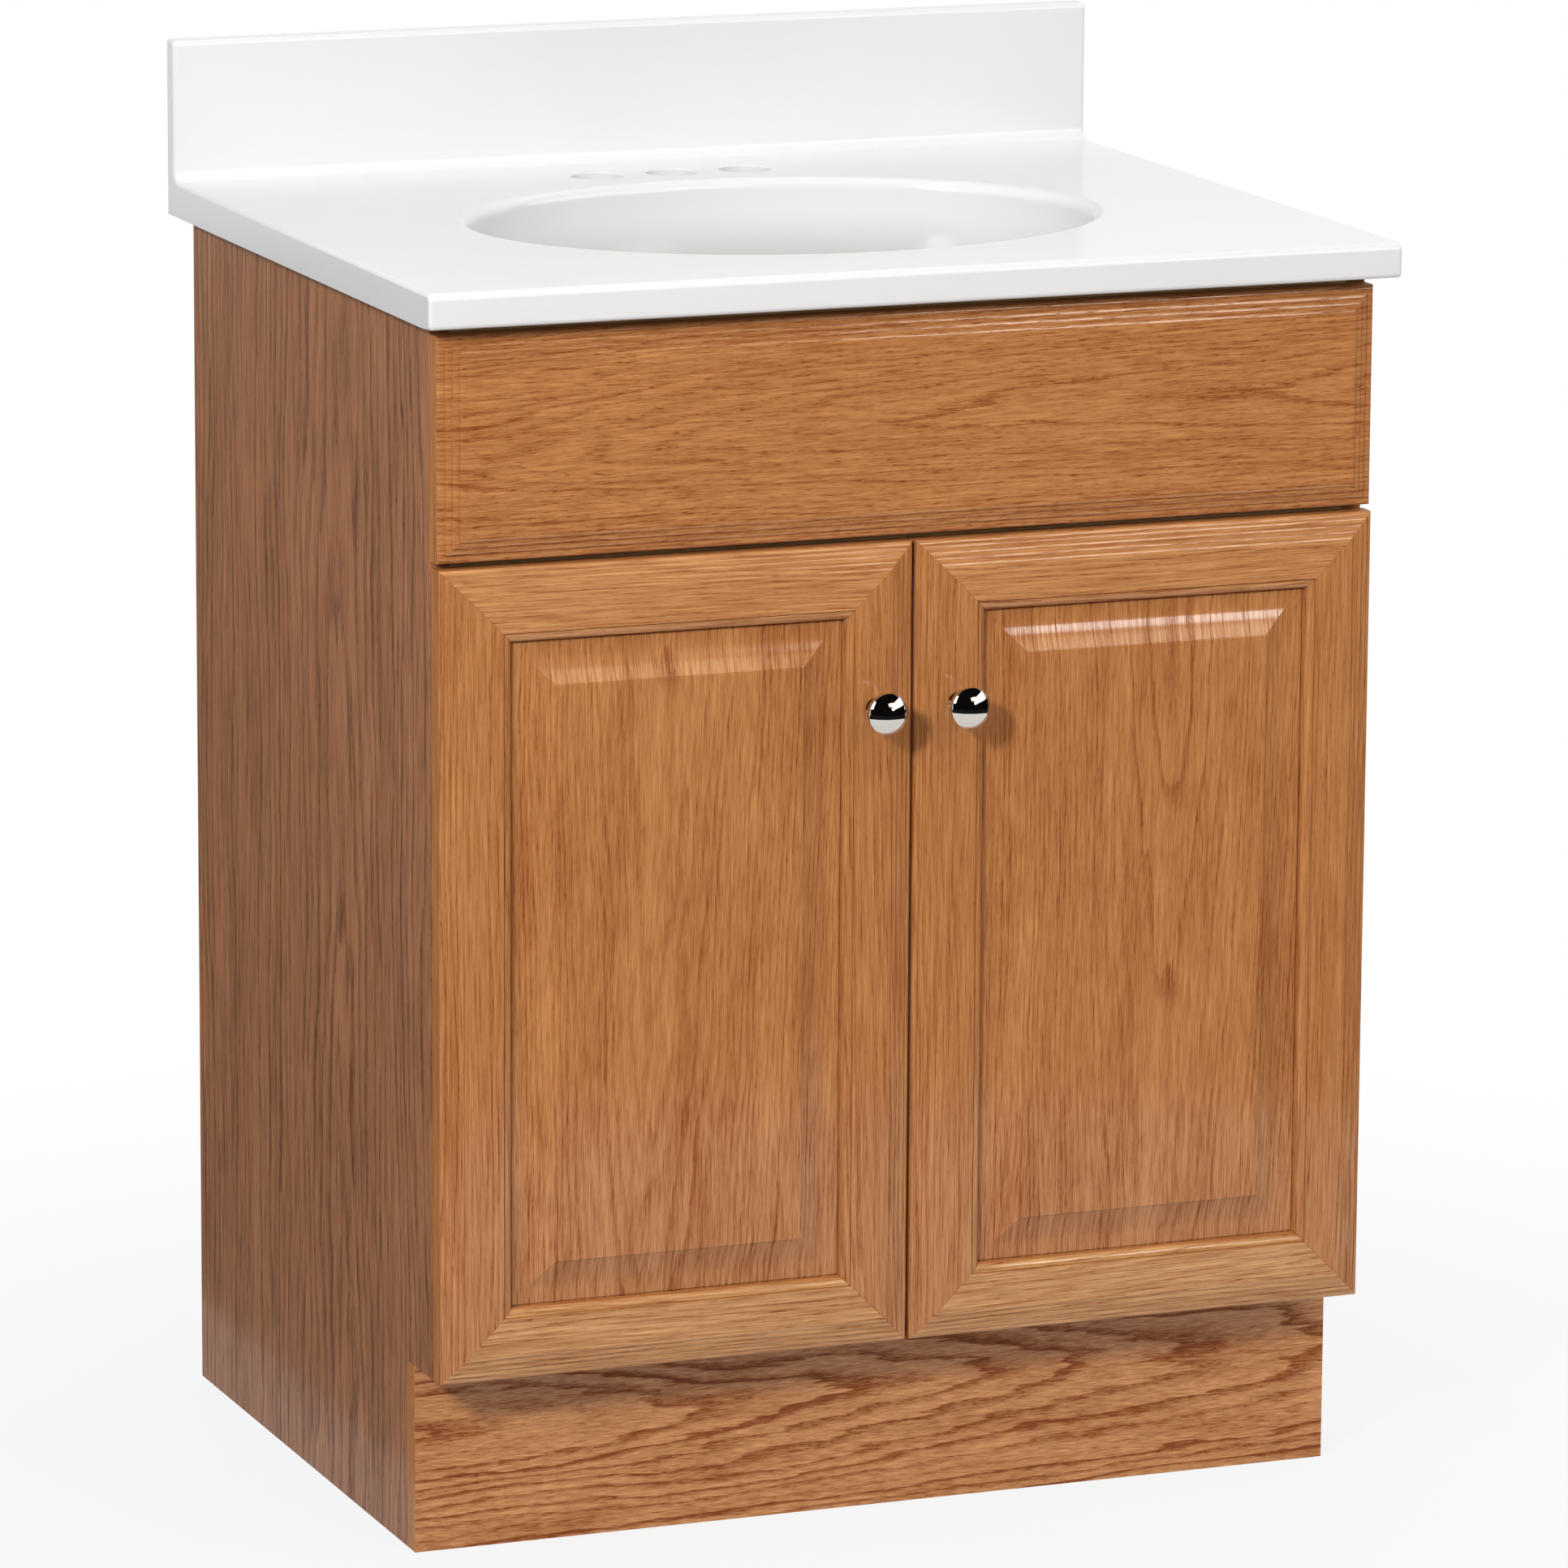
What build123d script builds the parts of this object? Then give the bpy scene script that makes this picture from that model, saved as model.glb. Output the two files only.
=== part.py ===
from build123d import *
import os
from math import sqrt

# Bathroom vanity cabinet with two overlay doors and a one-piece basin top, in millimetres.
# The origin is on the floor, in the middle of the overall width and depth. +Z is up, the doors face -Y.

# Cabinet box
cabinet_width = 609.6
cabinet_height = 766.0
box_depth = 457.2
side_thickness = 12.7
bottom_thickness = 12.7
rail_thickness = 15.9
toe_height = 118.6
toe_recess = 31.4
toe_thickness = 12.7
top_rail_height = 70.0
mid_rail_height = 50.0
back_rail_height = 90.0
dado_depth = 5.3
tongue_length = 5.0
panel_fit = 0.1
block_leg = 55.0
block_thickness = 18.0

# Dowels and screws of the box
dowel_radius = 4.0
dowel_in_side = 8.0
dowel_in_rail = 22.0
dowel_fit = 0.05
dowel_end_fit = 0.3
screw_fit = 0.05
front_screw_spacing = 400.0
front_screw_radius = 2.0
front_screw_head_radius = 4.0
front_screw_head_height = 2.4
front_screw_bite = 11.0

# Fronts: the false front lies on the box, the doors stand off it by door_gap
front_thickness = 19.0
lip_thickness = 14.0
edge_round = 2.4
top_reveal = 6.2
false_front_height = 137.1
front_gap = 3.7
door_gap = 3.0
gap_between_doors = 2.0
false_reed_start = 5.0
false_reed_width = 4.0
false_reed_count = 3

# Door frame section and raised panel
frame_width = 45.0
reed_start = 3.4
reed_width = 3.6
reed_count = 4
reed_riser = 0.5
bead_width = 5.4
quirk = 0.9
bead_drop = 4.8
groove_depth = 5.0
tongue_back = 6.0
tongue_thickness = 6.5
groove_fit = 0.15
tongue_end_fit = 0.4
panel_margin = 9.5
bevel_width = 17.5
bevel_rise = 5.6
field_step = 0.8
mitre_dowel_radius = 3.0
mitre_dowel_length = 26.0
mitre_dowel_level = 7.0

# Hinges: a cup in the door, a pin across the cup and a bent arm on a plate inside the cabinet
hinge_from_end = 90.0
pivot_inset = 7.2
pivot_depth = 8.5
pin_radius = 1.0
pin_end_fit = 0.15
pin_fit = 0.03
knuckle_radius = 2.0
knuckle_fit = 0.05
arm_thickness = 2.4
arm_width = 8.0
arm_reach = 13.0
arm_length = 60.0
cup_inset = 20.6
cup_radius = 17.4
cup_wall = 1.2
cup_depth = 11.9
cup_floor = 0.7
cup_fit = 0.1
flange_thickness = 1.2
flange_radius = 18.5
ear_spacing = 48.0
ear_offset = 5.0
ear_width = 13.0
cup_screw_radius = 1.6
cup_screw_head_radius = 3.4
cup_screw_head_height = 1.5
cup_screw_bite = 9.0
plate_thickness = 2.0
plate_width = 18.0
plate_height = 50.0
plate_from_front = 34.0
plate_screw_spacing = 32.0
plate_screw_radius = 1.8
plate_screw_head_radius = 3.6
plate_screw_head_height = 1.6
plate_screw_bite = 9.0
rib_start = 12.0
rib_width = 10.0
arm_screw_radius = 1.9
arm_screw_head_radius = 3.2
arm_screw_head_height = 1.6
arm_screw_bite = 5.0
arm_screw_from_end = 14.0

# Knobs and bumpers
knob_drop = 100.0
knob_inset = 26.0
knob_projection = 28.0
knob_head_radius = 12.8
knob_head_depth = 20.0
knob_neck_radius = 4.8
knob_base_radius = 6.5
knob_base_height = 1.6
round_share = 0.5523
knob_screw_radius = 2.0
knob_screw_bite = 9.0
knob_screw_head_radius = 4.0
knob_screw_head_height = 2.2
bumper_radius = 4.0
bumper_clearance = 0.3
bumper_inset = 15.0

# Basin top, which overhangs the box on all sides
top_side_overhang = 10.7
top_front_overhang = 31.6
top_back_overhang = 18.1
deck_thickness = 22.0
splash_height = 90.5
splash_thickness = 12.5
cove_radius = 8.0
deck_front_round = 5.0
deck_under_round = 3.0
splash_top_round = 4.0
end_round = 2.5
bowl_half_width = 207.0
bowl_front_margin = 70.9
bowl_back_margin = 106.0
bowl_depth = 140.0
bowl_flat_radius = 38.0
bowl_wall = 11.0
bowl_fullness = 0.62
rim_round = 8.0
rim_ease = 1.05
rim_sweep = 80.0
drain_radius = 22.25
drain_boss_radius = 36.0
drain_boss_height = 6.0
faucet_spacing = 101.6
faucet_hole_radius = 16.5
faucet_from_back = 73.0
faucet_hole_round = 1.0

# Planes of the box
overall_depth = top_back_overhang + box_depth + door_gap + front_thickness + knob_projection
top_back = overall_depth / 2
box_back = top_back - top_back_overhang
box_front = box_back - box_depth
door_back = box_front - door_gap
door_front = door_back - front_thickness
half_width = cabinet_width / 2
inner_half = half_width - side_thickness
toe_front = box_front + toe_recess
toe_back = toe_front + toe_thickness
bottom_top = toe_height + bottom_thickness

# Levels of the fronts
false_top = cabinet_height - top_reveal
false_bottom = false_top - false_front_height
door_top = false_bottom - front_gap
door_bottom = toe_height
door_height = door_top - door_bottom
door_outer = -half_width
door_inner = -gap_between_doors / 2
door_width = door_inner - door_outer
hinge_levels = [door_bottom + hinge_from_end, door_top - hinge_from_end]
mid_rail_center = door_top + front_gap / 2

# Levels and places of the basin top
top_width = cabinet_width + 2 * top_side_overhang
top_depth = top_back_overhang + box_depth + top_front_overhang
deck_top = cabinet_height + deck_thickness
splash_top = deck_top + splash_height
top_front = top_back - top_depth
splash_front = top_back - splash_thickness
bowl_half_depth = (top_depth - bowl_front_margin - bowl_back_margin) / 2
bowl_y = top_back - bowl_back_margin - bowl_half_depth
faucet_y = top_back - faucet_from_back
bowl_ratio = bowl_half_depth / bowl_half_width

# Places on the doors and in the hinges
pivot_x = door_outer + pivot_inset
pivot_y = door_back - pivot_depth
cup_x = door_outer + cup_inset
ear_x = cup_x + ear_offset
arm_x = pivot_x + arm_reach
arm_face_x = arm_x - arm_thickness / 2
arm_end_y = box_front + arm_length
arm_screw_y = arm_end_y - arm_screw_from_end
plate_y = box_front + plate_from_front
knob_x = door_inner - knob_inset
knob_z = door_top - knob_drop
bumper_x = door_inner - bumper_inset
bumper_levels = [toe_height + bottom_thickness / 2, (mid_rail_center - mid_rail_height / 2 + door_top) / 2]
opening_width = door_width - 2 * frame_width
opening_height = door_height - 2 * frame_width
groove_front = tongue_back + tongue_thickness + groove_fit
groove_back = tongue_back - groove_fit
tongue_reach = groove_depth - tongue_end_fit
mitre_hole_length = mitre_dowel_length + 2 * dowel_fit
pin_half = sqrt(cup_radius**2 - (cup_inset - pivot_inset + pin_radius) ** 2) - pin_end_fit
bumper_height = door_gap - bumper_clearance

# Each rail: its back-to-front place and its levels
rails = {
    "front_top_rail": (box_front, cabinet_height - top_rail_height, cabinet_height),
    "front_mid_rail": (
        box_front,
        mid_rail_center - mid_rail_height / 2,
        mid_rail_center + mid_rail_height / 2,
    ),
    "back_top_rail": (box_back - rail_thickness, cabinet_height - back_rail_height, cabinet_height),
    "back_bottom_rail": (box_back - rail_thickness, 0.0, toe_height),
}

# The screws of the false front pass through the two front rails
mid_rail_top = rails["front_mid_rail"][2]
front_screw_levels = {
    "front_top_rail": (rails["front_top_rail"][1] + false_top) / 2,
    "front_mid_rail": (false_bottom + mid_rail_top) / 2,
}

# Each rail's dowels stand a quarter of its height in from its two edges
rail_dowel_points = {}
all_dowel_points = []
for rail, (start_y, low, high) in rails.items():
    quarter = (high - low) / 4
    middle_y = start_y + rail_thickness / 2
    rail_dowel_points[rail] = [(middle_y, low + quarter), (middle_y, high - quarter)]
    all_dowel_points += rail_dowel_points[rail]

# Places of the screws
plate_screw_points = []
for level in hinge_levels:
    for shift in (-plate_screw_spacing / 2, plate_screw_spacing / 2):
        plate_screw_points.append((plate_y, level + shift))
front_screw_xs = (-front_screw_spacing / 2, front_screw_spacing / 2)
ear_levels = []
for level in hinge_levels:
    ear_levels += [level - ear_spacing / 2, level + ear_spacing / 2]


def save(piece, name):
    """Label a finished piece and write it to its own file."""
    piece.part.label = name
    export_step(piece.part, f"parts/{name}.step")


def save_pair(piece, name):
    """Write a left-hand piece, and its mirror image for the right."""
    save(piece, f"left_{name}")
    with BuildPart() as mirrored:
        mirror(piece.part, about=Plane.YZ)
    save(mirrored, f"right_{name}")


def facing(normal, points):
    """One plane at each point, with its normal along the given direction."""
    return [Plane(origin=point, z_dir=normal) for point in points]


def rods(planes, radius, length, mode=Mode.ADD):
    """Round bars, or round holes, that start on each plane and run along its normal."""
    with BuildSketch(*planes) as ends:
        Circle(radius)
    extrude(ends.sketch, amount=length, mode=mode)


def block(low, high, mode=Mode.ADD):
    """A square-edged board between two opposite corners."""
    size = [b - a for a, b in zip(low, high)]
    middle = [(a + b) / 2 for a, b in zip(low, high)]
    with Locations(tuple(middle)):
        Box(*size, mode=mode)


def draw_moulded_edge(start, reeds_at, reed, count):
    """A front's outer edge from its back corner at x = start: a rounded lip, then rounded steps."""
    lip_start = (start, lip_thickness - edge_round)
    lip_end = (start + edge_round, lip_thickness)
    Line((start, 0), lip_start)
    TangentArc(lip_start, lip_end, tangent=(0, 1))
    foot = (start + reeds_at, lip_thickness)
    Line(lip_end, foot)
    rise = (front_thickness - lip_thickness) / count
    for step in range(count):
        head = (foot[0] + reed, foot[1] + rise)
        riser_top = (foot[0], foot[1] + reed_riser)
        Line(foot, riser_top)
        TangentArc(head, riser_top, tangent=(-1, 0))
        foot = head
    return foot


def draw_false_front(half):
    """The section of the false front, with the same moulded edge on both sides."""
    with BuildLine() as outline:
        field = draw_moulded_edge(-half, false_reed_start, false_reed_width, false_reed_count)
        Polyline(field, (0, front_thickness), (0, 0), (-half, 0))
    make_face(outline.edges())
    mirror(about=Plane.YZ)


def draw_panel(half):
    """The section of the raised panel: a tongue and margin, a bevel and a raised field."""
    margin_end = tongue_reach + panel_margin - half
    bevel_end = margin_end + bevel_width
    margin_front = tongue_back + tongue_thickness
    bevel_front = margin_front + bevel_rise
    field_front = bevel_front + field_step
    with BuildLine() as outline:
        Polyline(
            (-half, tongue_back),
            (-half, margin_front),
            (margin_end, margin_front),
            (bevel_end, bevel_front),
            (bevel_end, field_front),
            (0, field_front),
            (0, tongue_back),
            close=True,
        )
    make_face(outline.edges())
    mirror(about=Plane.YZ)


def crossed_sections(draw, back_y, center_x, low, width, height):
    """A slab whose drawn edge runs round all four sides and meets in mitres at the corners."""
    upright = Plane(origin=(center_x, back_y, low + height), x_dir=(1, 0, 0), z_dir=(0, 0, -1))
    level_at = (center_x - width / 2, back_y, low + height / 2)
    lengthwise = Plane(origin=level_at, x_dir=(0, 0, 1), z_dir=(1, 0, 0))
    with BuildPart() as slab:
        with BuildSketch(upright):
            draw(width / 2)
        extrude(amount=height)
        with BuildSketch(lengthwise):
            draw(height / 2)
        extrude(amount=width, mode=Mode.INTERSECT)
    return slab


def frame_member(origin, inset, along, length):
    """A door frame member: one moulded section along its length, with both ends cut to a mitre."""
    section = Plane(origin=origin, x_dir=inset, z_dir=along)
    plan = Plane(origin=origin, x_dir=inset, z_dir=section.y_dir)
    bead_top = (frame_width - bead_width, front_thickness - quirk)
    bead_foot = (frame_width, front_thickness - quirk - bead_drop)
    with BuildPart() as member:
        with BuildSketch(section):
            with BuildLine():
                field = draw_moulded_edge(0, reed_start, reed_width, reed_count)
                Polyline(field, (bead_top[0], front_thickness), bead_top)
                TangentArc(bead_top, bead_foot, tangent=(1, 0))
                Polyline(
                    bead_foot,
                    (frame_width, groove_front),
                    (frame_width - groove_depth, groove_front),
                    (frame_width - groove_depth, groove_back),
                    (frame_width, groove_back),
                    (frame_width, 0),
                    (0, 0),
                )
            make_face()
        extrude(amount=length)
        with BuildSketch(plan):
            with BuildLine():
                Polyline(
                    (0, 0),
                    (frame_width, -frame_width),
                    (frame_width, frame_width - length),
                    (0, -length),
                    close=True,
                )
            make_face()
        extrude(amount=front_thickness, mode=Mode.INTERSECT)
        rods(mitre_planes(dowel_fit), mitre_dowel_radius + dowel_fit, mitre_hole_length, Mode.SUBTRACT)
    return member


def mitre_planes(end_fit):
    """The start planes of the four dowels that cross the door's mitres, square to each mitre."""
    planes = []
    reach = (mitre_dowel_length / 2 + end_fit) / sqrt(2)
    for corner_x, turn_x in ((door_outer, 1), (door_inner, -1)):
        for corner_z, turn_z in ((door_bottom, 1), (door_top, -1)):
            x = corner_x + turn_x * (frame_width / 2 - reach)
            z = corner_z + turn_z * (frame_width / 2 + reach)
            at = (x, door_back - mitre_dowel_level, z)
            planes.append(Plane(origin=at, z_dir=(turn_x, 0, -turn_z)))
    return planes


def bowl_curve(foot, head):
    """A full, round side that leaves the bottom level and reaches the rim upright."""
    reach = bowl_fullness * (head[0] - foot[0])
    climb = bowl_fullness * (head[1] - foot[1])
    return Bezier(foot, (foot[0] + reach, foot[1]), (head[0], head[1] - climb), head)


os.makedirs("parts", exist_ok=True)

# Side panels, notched for the toe kick and grooved for the bottom panel
with BuildPart() as side_panel:
    with BuildSketch(Plane.YZ.offset(-half_width)):
        with BuildLine():
            Polyline(
                (box_front, toe_height),
                (box_front, cabinet_height),
                (box_back, cabinet_height),
                (box_back, 0),
                (toe_back, 0),
                (toe_back, toe_height),
                close=True,
            )
        make_face()
    extrude(amount=side_thickness)
    dado_low = (-inner_half - dado_depth, box_front, toe_height)
    dado_high = (-inner_half, box_back, bottom_top + panel_fit)
    block(dado_low, dado_high, Mode.SUBTRACT)
    side_dowels = facing((-1, 0, 0), [(-inner_half, y, z) for y, z in all_dowel_points])
    rods(side_dowels, dowel_radius + dowel_fit, dowel_in_side + dowel_end_fit, Mode.SUBTRACT)
    side_screws = facing((-1, 0, 0), [(-inner_half, y, z) for y, z in plate_screw_points])
    rods(side_screws, plate_screw_radius + screw_fit, plate_screw_bite + screw_fit, Mode.SUBTRACT)
save_pair(side_panel, "side_panel")

# Bottom panel, with its ends in the side panels' grooves
with BuildPart() as bottom_panel:
    bottom_half = inner_half + tongue_length
    block((-bottom_half, box_front, toe_height), (bottom_half, box_back, bottom_top))
save(bottom_panel, "bottom_panel")

# Toe kick, across the front of both side panels' notches
with BuildPart() as toe_kick:
    block((-half_width, toe_front, 0), (half_width, toe_back, toe_height))
save(toe_kick, "toe_kick")

# Rails between the side panels, on dowels
for rail, (start_y, low, high) in rails.items():
    with BuildPart() as rail_board:
        block((-inner_half, start_y, low), (inner_half, start_y + rail_thickness, high))
        for side in (-1, 1):
            ends = [(side * inner_half, y, z) for y, z in rail_dowel_points[rail]]
            end_planes = facing((-side, 0, 0), ends)
            rods(end_planes, dowel_radius + dowel_fit, dowel_in_rail + dowel_end_fit, Mode.SUBTRACT)
        if rail in front_screw_levels:
            holes = [(x, start_y + rail_thickness, front_screw_levels[rail]) for x in front_screw_xs]
            rods(facing((0, -1, 0), holes), front_screw_radius + screw_fit, rail_thickness, Mode.SUBTRACT)
    save(rail_board, rail)

with BuildPart() as rail_dowels:
    dowel_length = dowel_in_side + dowel_in_rail
    for side in (-1, 1):
        starts = [(side * (inner_half + dowel_in_side), y, z) for y, z in all_dowel_points]
        rods(facing((-side, 0, 0), starts), dowel_radius, dowel_length)
save(rail_dowels, "rail_dowels")

# Triangular blocks in the four top corners, which carry the basin top
with BuildPart() as corner_blocks:
    with BuildSketch(Plane.XY.offset(cabinet_height - block_thickness)):
        for side in (-1, 1):
            for corner_y, turn in ((box_front + rail_thickness, 1), (box_back - rail_thickness, -1)):
                with BuildLine():
                    Polyline(
                        (side * inner_half, corner_y),
                        (side * (inner_half - block_leg), corner_y),
                        (side * inner_half, corner_y + turn * block_leg),
                        close=True,
                    )
                make_face()
    extrude(amount=block_thickness)
save(corner_blocks, "corner_blocks")

# False front, moulded on all four edges and screwed on from inside
false_slab = crossed_sections(
    draw_false_front, box_front, 0, false_bottom, cabinet_width, false_front_height
)
false_front_holes = [(x, box_front, z) for x in front_screw_xs for z in front_screw_levels.values()]
with BuildPart() as false_front:
    add(false_slab.part)
    false_planes = facing((0, -1, 0), false_front_holes)
    rods(false_planes, front_screw_radius + screw_fit, front_screw_bite + screw_fit, Mode.SUBTRACT)
save(false_front, "false_front")

with BuildPart() as false_front_screws:
    seats = [(x, y + rail_thickness, z) for x, y, z in false_front_holes]
    rods(facing((0, -1, 0), seats), front_screw_radius, rail_thickness + front_screw_bite)
    rods(facing((0, 1, 0), seats), front_screw_head_radius, front_screw_head_height)
save(false_front_screws, "false_front_screws")

# Basin top: deck and splashback in one section, with an oval bowl and its holes
rim_radius = rim_ease * rim_round
rim_x = bowl_half_width - rim_round
with BuildPart() as bowl_cavity:
    with BuildSketch(Plane.XZ):
        with BuildLine():
            Line((0, -bowl_depth), (bowl_flat_radius, -bowl_depth))
            bowl_curve((bowl_flat_radius, -bowl_depth), (rim_x, -rim_round))
            rim = CenterArc((rim_x + rim_radius, -rim_round), rim_radius, 180, -rim_sweep)
            Polyline(rim @ 1, ((rim @ 1).X, rim_round), (0, rim_round), (0, -bowl_depth))
        make_face()
    revolve(axis=Axis.Z)
    scale(by=(1, bowl_ratio, 1))

with BuildPart() as bowl_shell:
    with BuildSketch(Plane.XZ):
        with BuildLine():
            shell_foot = (bowl_flat_radius + bowl_wall / 2, -bowl_depth - bowl_wall)
            shell_head = (rim_x + bowl_wall, -deck_thickness / 2)
            Line((0, shell_foot[1]), shell_foot)
            bowl_curve(shell_foot, shell_head)
            Polyline(shell_head, (0, shell_head[1]), (0, shell_foot[1]))
        make_face()
    revolve(axis=Axis.Z)
    scale(by=(1, bowl_ratio, 1))

with BuildPart() as vanity_top:
    with BuildSketch(Plane.YZ.offset(-top_width / 2)):
        with BuildLine():
            Polyline(
                (top_front + deck_under_round, cabinet_height),
                (top_back, cabinet_height),
                (top_back, splash_top),
                (splash_front + splash_top_round, splash_top),
            )
            splash_edge = (splash_front, splash_top - splash_top_round)
            TangentArc((splash_front + splash_top_round, splash_top), splash_edge, tangent=(-1, 0))
            Line(splash_edge, (splash_front, deck_top + cove_radius))
            cove_end = (splash_front - cove_radius, deck_top)
            TangentArc((splash_front, deck_top + cove_radius), cove_end, tangent=(0, -1))
            Line(cove_end, (top_front + deck_front_round, deck_top))
            front_edge = (top_front, deck_top - deck_front_round)
            TangentArc((top_front + deck_front_round, deck_top), front_edge, tangent=(-1, 0))
            Line(front_edge, (top_front, cabinet_height + deck_under_round))
            under_end = (top_front + deck_under_round, cabinet_height)
            TangentArc((top_front, cabinet_height + deck_under_round), under_end, tangent=(0, -1))
        make_face()
    extrude(amount=top_width)
    ends = vanity_top.faces().filter_by(Axis.X).edges()
    hidden = ends.group_by(Axis.Z)[0] + ends.group_by(Axis.Y)[-1]
    fillet([edge for edge in ends if edge not in hidden], end_round)
    bowl_at = Location((0, bowl_y, deck_top))
    add(bowl_shell.part.moved(bowl_at))
    shell_bottom = deck_top - bowl_depth - bowl_wall
    boss_level = shell_bottom - drain_boss_height
    drain_length = bowl_wall + drain_boss_height
    rods(facing((0, 0, 1), [(0, bowl_y, boss_level)]), drain_boss_radius, drain_length)
    add(bowl_cavity.part.moved(bowl_at), mode=Mode.SUBTRACT)
    rods(facing((0, 0, 1), [(0, bowl_y, boss_level)]), drain_radius, drain_length, Mode.SUBTRACT)
    faucet_xs = (-faucet_spacing / 2, 0, faucet_spacing / 2)
    faucet_planes = facing((0, 0, -1), [(x, faucet_y, deck_top) for x in faucet_xs])
    rods(faucet_planes, faucet_hole_radius, deck_thickness, Mode.SUBTRACT)
    faucet_rims = vanity_top.edges(Select.LAST).filter_by(GeomType.CIRCLE).group_by(Axis.Z)[-1]
    fillet(faucet_rims, faucet_hole_round)
save(vanity_top, "vanity_top")

# Door frames: four mitred members round a raised panel
hinge_stile_bare = frame_member((door_outer, door_back, door_top), (1, 0, 0), (0, 0, -1), door_height)
with BuildPart() as hinge_stile:
    add(hinge_stile_bare.part)
    cup_planes = facing((0, -1, 0), [(cup_x, door_back, level) for level in hinge_levels])
    rods(cup_planes, cup_radius + cup_fit, cup_depth + cup_fit, Mode.SUBTRACT)
    ear_planes = facing((0, -1, 0), [(ear_x, door_back, level) for level in ear_levels])
    rods(ear_planes, cup_screw_radius + screw_fit, cup_screw_bite + screw_fit, Mode.SUBTRACT)
save_pair(hinge_stile, "door_hinge_stile")

knob_stile_bare = frame_member((door_inner, door_back, door_bottom), (-1, 0, 0), (0, 0, 1), door_height)
knob_screw_seat = facing((0, -1, 0), [(knob_x, door_back, knob_z)])
with BuildPart() as knob_stile:
    add(knob_stile_bare.part)
    rods(knob_screw_seat, knob_screw_radius + screw_fit, front_thickness, Mode.SUBTRACT)
save_pair(knob_stile, "door_knob_stile")

top_member = frame_member((door_inner, door_back, door_top), (0, 0, -1), (-1, 0, 0), door_width)
save_pair(top_member, "door_top_rail")

bottom_member = frame_member((door_outer, door_back, door_bottom), (0, 0, 1), (1, 0, 0), door_width)
save_pair(bottom_member, "door_bottom_rail")

door_panel = crossed_sections(
    draw_panel,
    door_back,
    (door_outer + door_inner) / 2,
    door_bottom + frame_width - tongue_reach,
    opening_width + 2 * tongue_reach,
    opening_height + 2 * tongue_reach,
)
save_pair(door_panel, "door_panel")

with BuildPart() as mitre_dowels:
    rods(mitre_planes(0), mitre_dowel_radius, mitre_dowel_length)
save_pair(mitre_dowels, "door_dowels")

# Hinge cups with their flanges, pins and screws
with BuildPart() as hinge_cups:
    rods(cup_planes, cup_radius, cup_depth)
    flange_planes = facing((0, 1, 0), [(cup_x, door_back, level) for level in hinge_levels])
    rods(flange_planes, flange_radius, flange_thickness)
    for level in hinge_levels:
        ear_plane = Plane(origin=(ear_x, door_back, level), x_dir=(0, 0, 1), z_dir=(0, 1, 0))
        with BuildSketch(ear_plane):
            SlotOverall(ear_spacing + ear_width, ear_width)
        extrude(amount=flange_thickness)
    flange_back = door_back + flange_thickness
    hollow_planes = facing((0, -1, 0), [(cup_x, flange_back, level) for level in hinge_levels])
    hollow_depth = flange_thickness + cup_depth - cup_floor
    rods(hollow_planes, cup_radius - cup_wall, hollow_depth, Mode.SUBTRACT)
    ear_seats = [(ear_x, flange_back, level) for level in ear_levels]
    rods(facing((0, -1, 0), ear_seats), cup_screw_radius + screw_fit, flange_thickness, Mode.SUBTRACT)
    pin_planes = facing((0, 0, 1), [(pivot_x, pivot_y, level - pin_half) for level in hinge_levels])
    rods(pin_planes, pin_radius + pin_fit, 2 * pin_half, Mode.SUBTRACT)
save_pair(hinge_cups, "hinge_cups")

with BuildPart() as hinge_pins:
    rods(pin_planes, pin_radius, 2 * pin_half)
save_pair(hinge_pins, "hinge_pins")

with BuildPart() as cup_screws:
    rods(facing((0, -1, 0), ear_seats), cup_screw_radius, flange_thickness + cup_screw_bite)
    rods(facing((0, 1, 0), ear_seats), cup_screw_head_radius, cup_screw_head_height)
save_pair(cup_screws, "hinge_cup_screws")

# Hinge arms on their plates, with the screws that hold them
arm_screw_seats = [(arm_x + arm_thickness / 2, arm_screw_y, level) for level in hinge_levels]
with BuildPart() as hinge_arms:
    for level in hinge_levels:
        with BuildSketch(Plane.XY.offset(level - arm_width / 2)):
            with BuildLine():
                half = arm_thickness / 2
                Polyline(
                    (pivot_x, pivot_y - half),
                    (arm_x + half, pivot_y - half),
                    (arm_x + half, arm_end_y),
                    (arm_x - half, arm_end_y),
                    (arm_x - half, pivot_y + half),
                    (pivot_x, pivot_y + half),
                    close=True,
                )
            make_face()
            with Locations((pivot_x, pivot_y)):
                Circle(knuckle_radius)
                Circle(pin_radius + knuckle_fit, mode=Mode.SUBTRACT)
        extrude(amount=arm_width)
    rods(facing((-1, 0, 0), arm_screw_seats), arm_screw_radius + screw_fit, arm_thickness, Mode.SUBTRACT)
save_pair(hinge_arms, "hinge_arms")

with BuildPart() as hinge_plates:
    for level in hinge_levels:
        plate_low = (-inner_half, plate_y - plate_width / 2, level - plate_height / 2)
        plate_high = (-inner_half + plate_thickness, plate_y + plate_width / 2, level + plate_height / 2)
        block(plate_low, plate_high)
        rib_low = (-inner_half, box_front + rib_start, level - rib_width / 2)
        rib_high = (arm_face_x, arm_end_y, level + rib_width / 2)
        block(rib_low, rib_high)
    plate_seats = [(-inner_half + plate_thickness, y, z) for y, z in plate_screw_points]
    rods(facing((-1, 0, 0), plate_seats), plate_screw_radius + screw_fit, plate_thickness, Mode.SUBTRACT)
    rib_planes = facing((-1, 0, 0), [(arm_face_x, y, z) for _, y, z in arm_screw_seats])
    rods(rib_planes, arm_screw_radius + screw_fit, arm_screw_bite + screw_fit, Mode.SUBTRACT)
save_pair(hinge_plates, "hinge_plates")

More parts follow.
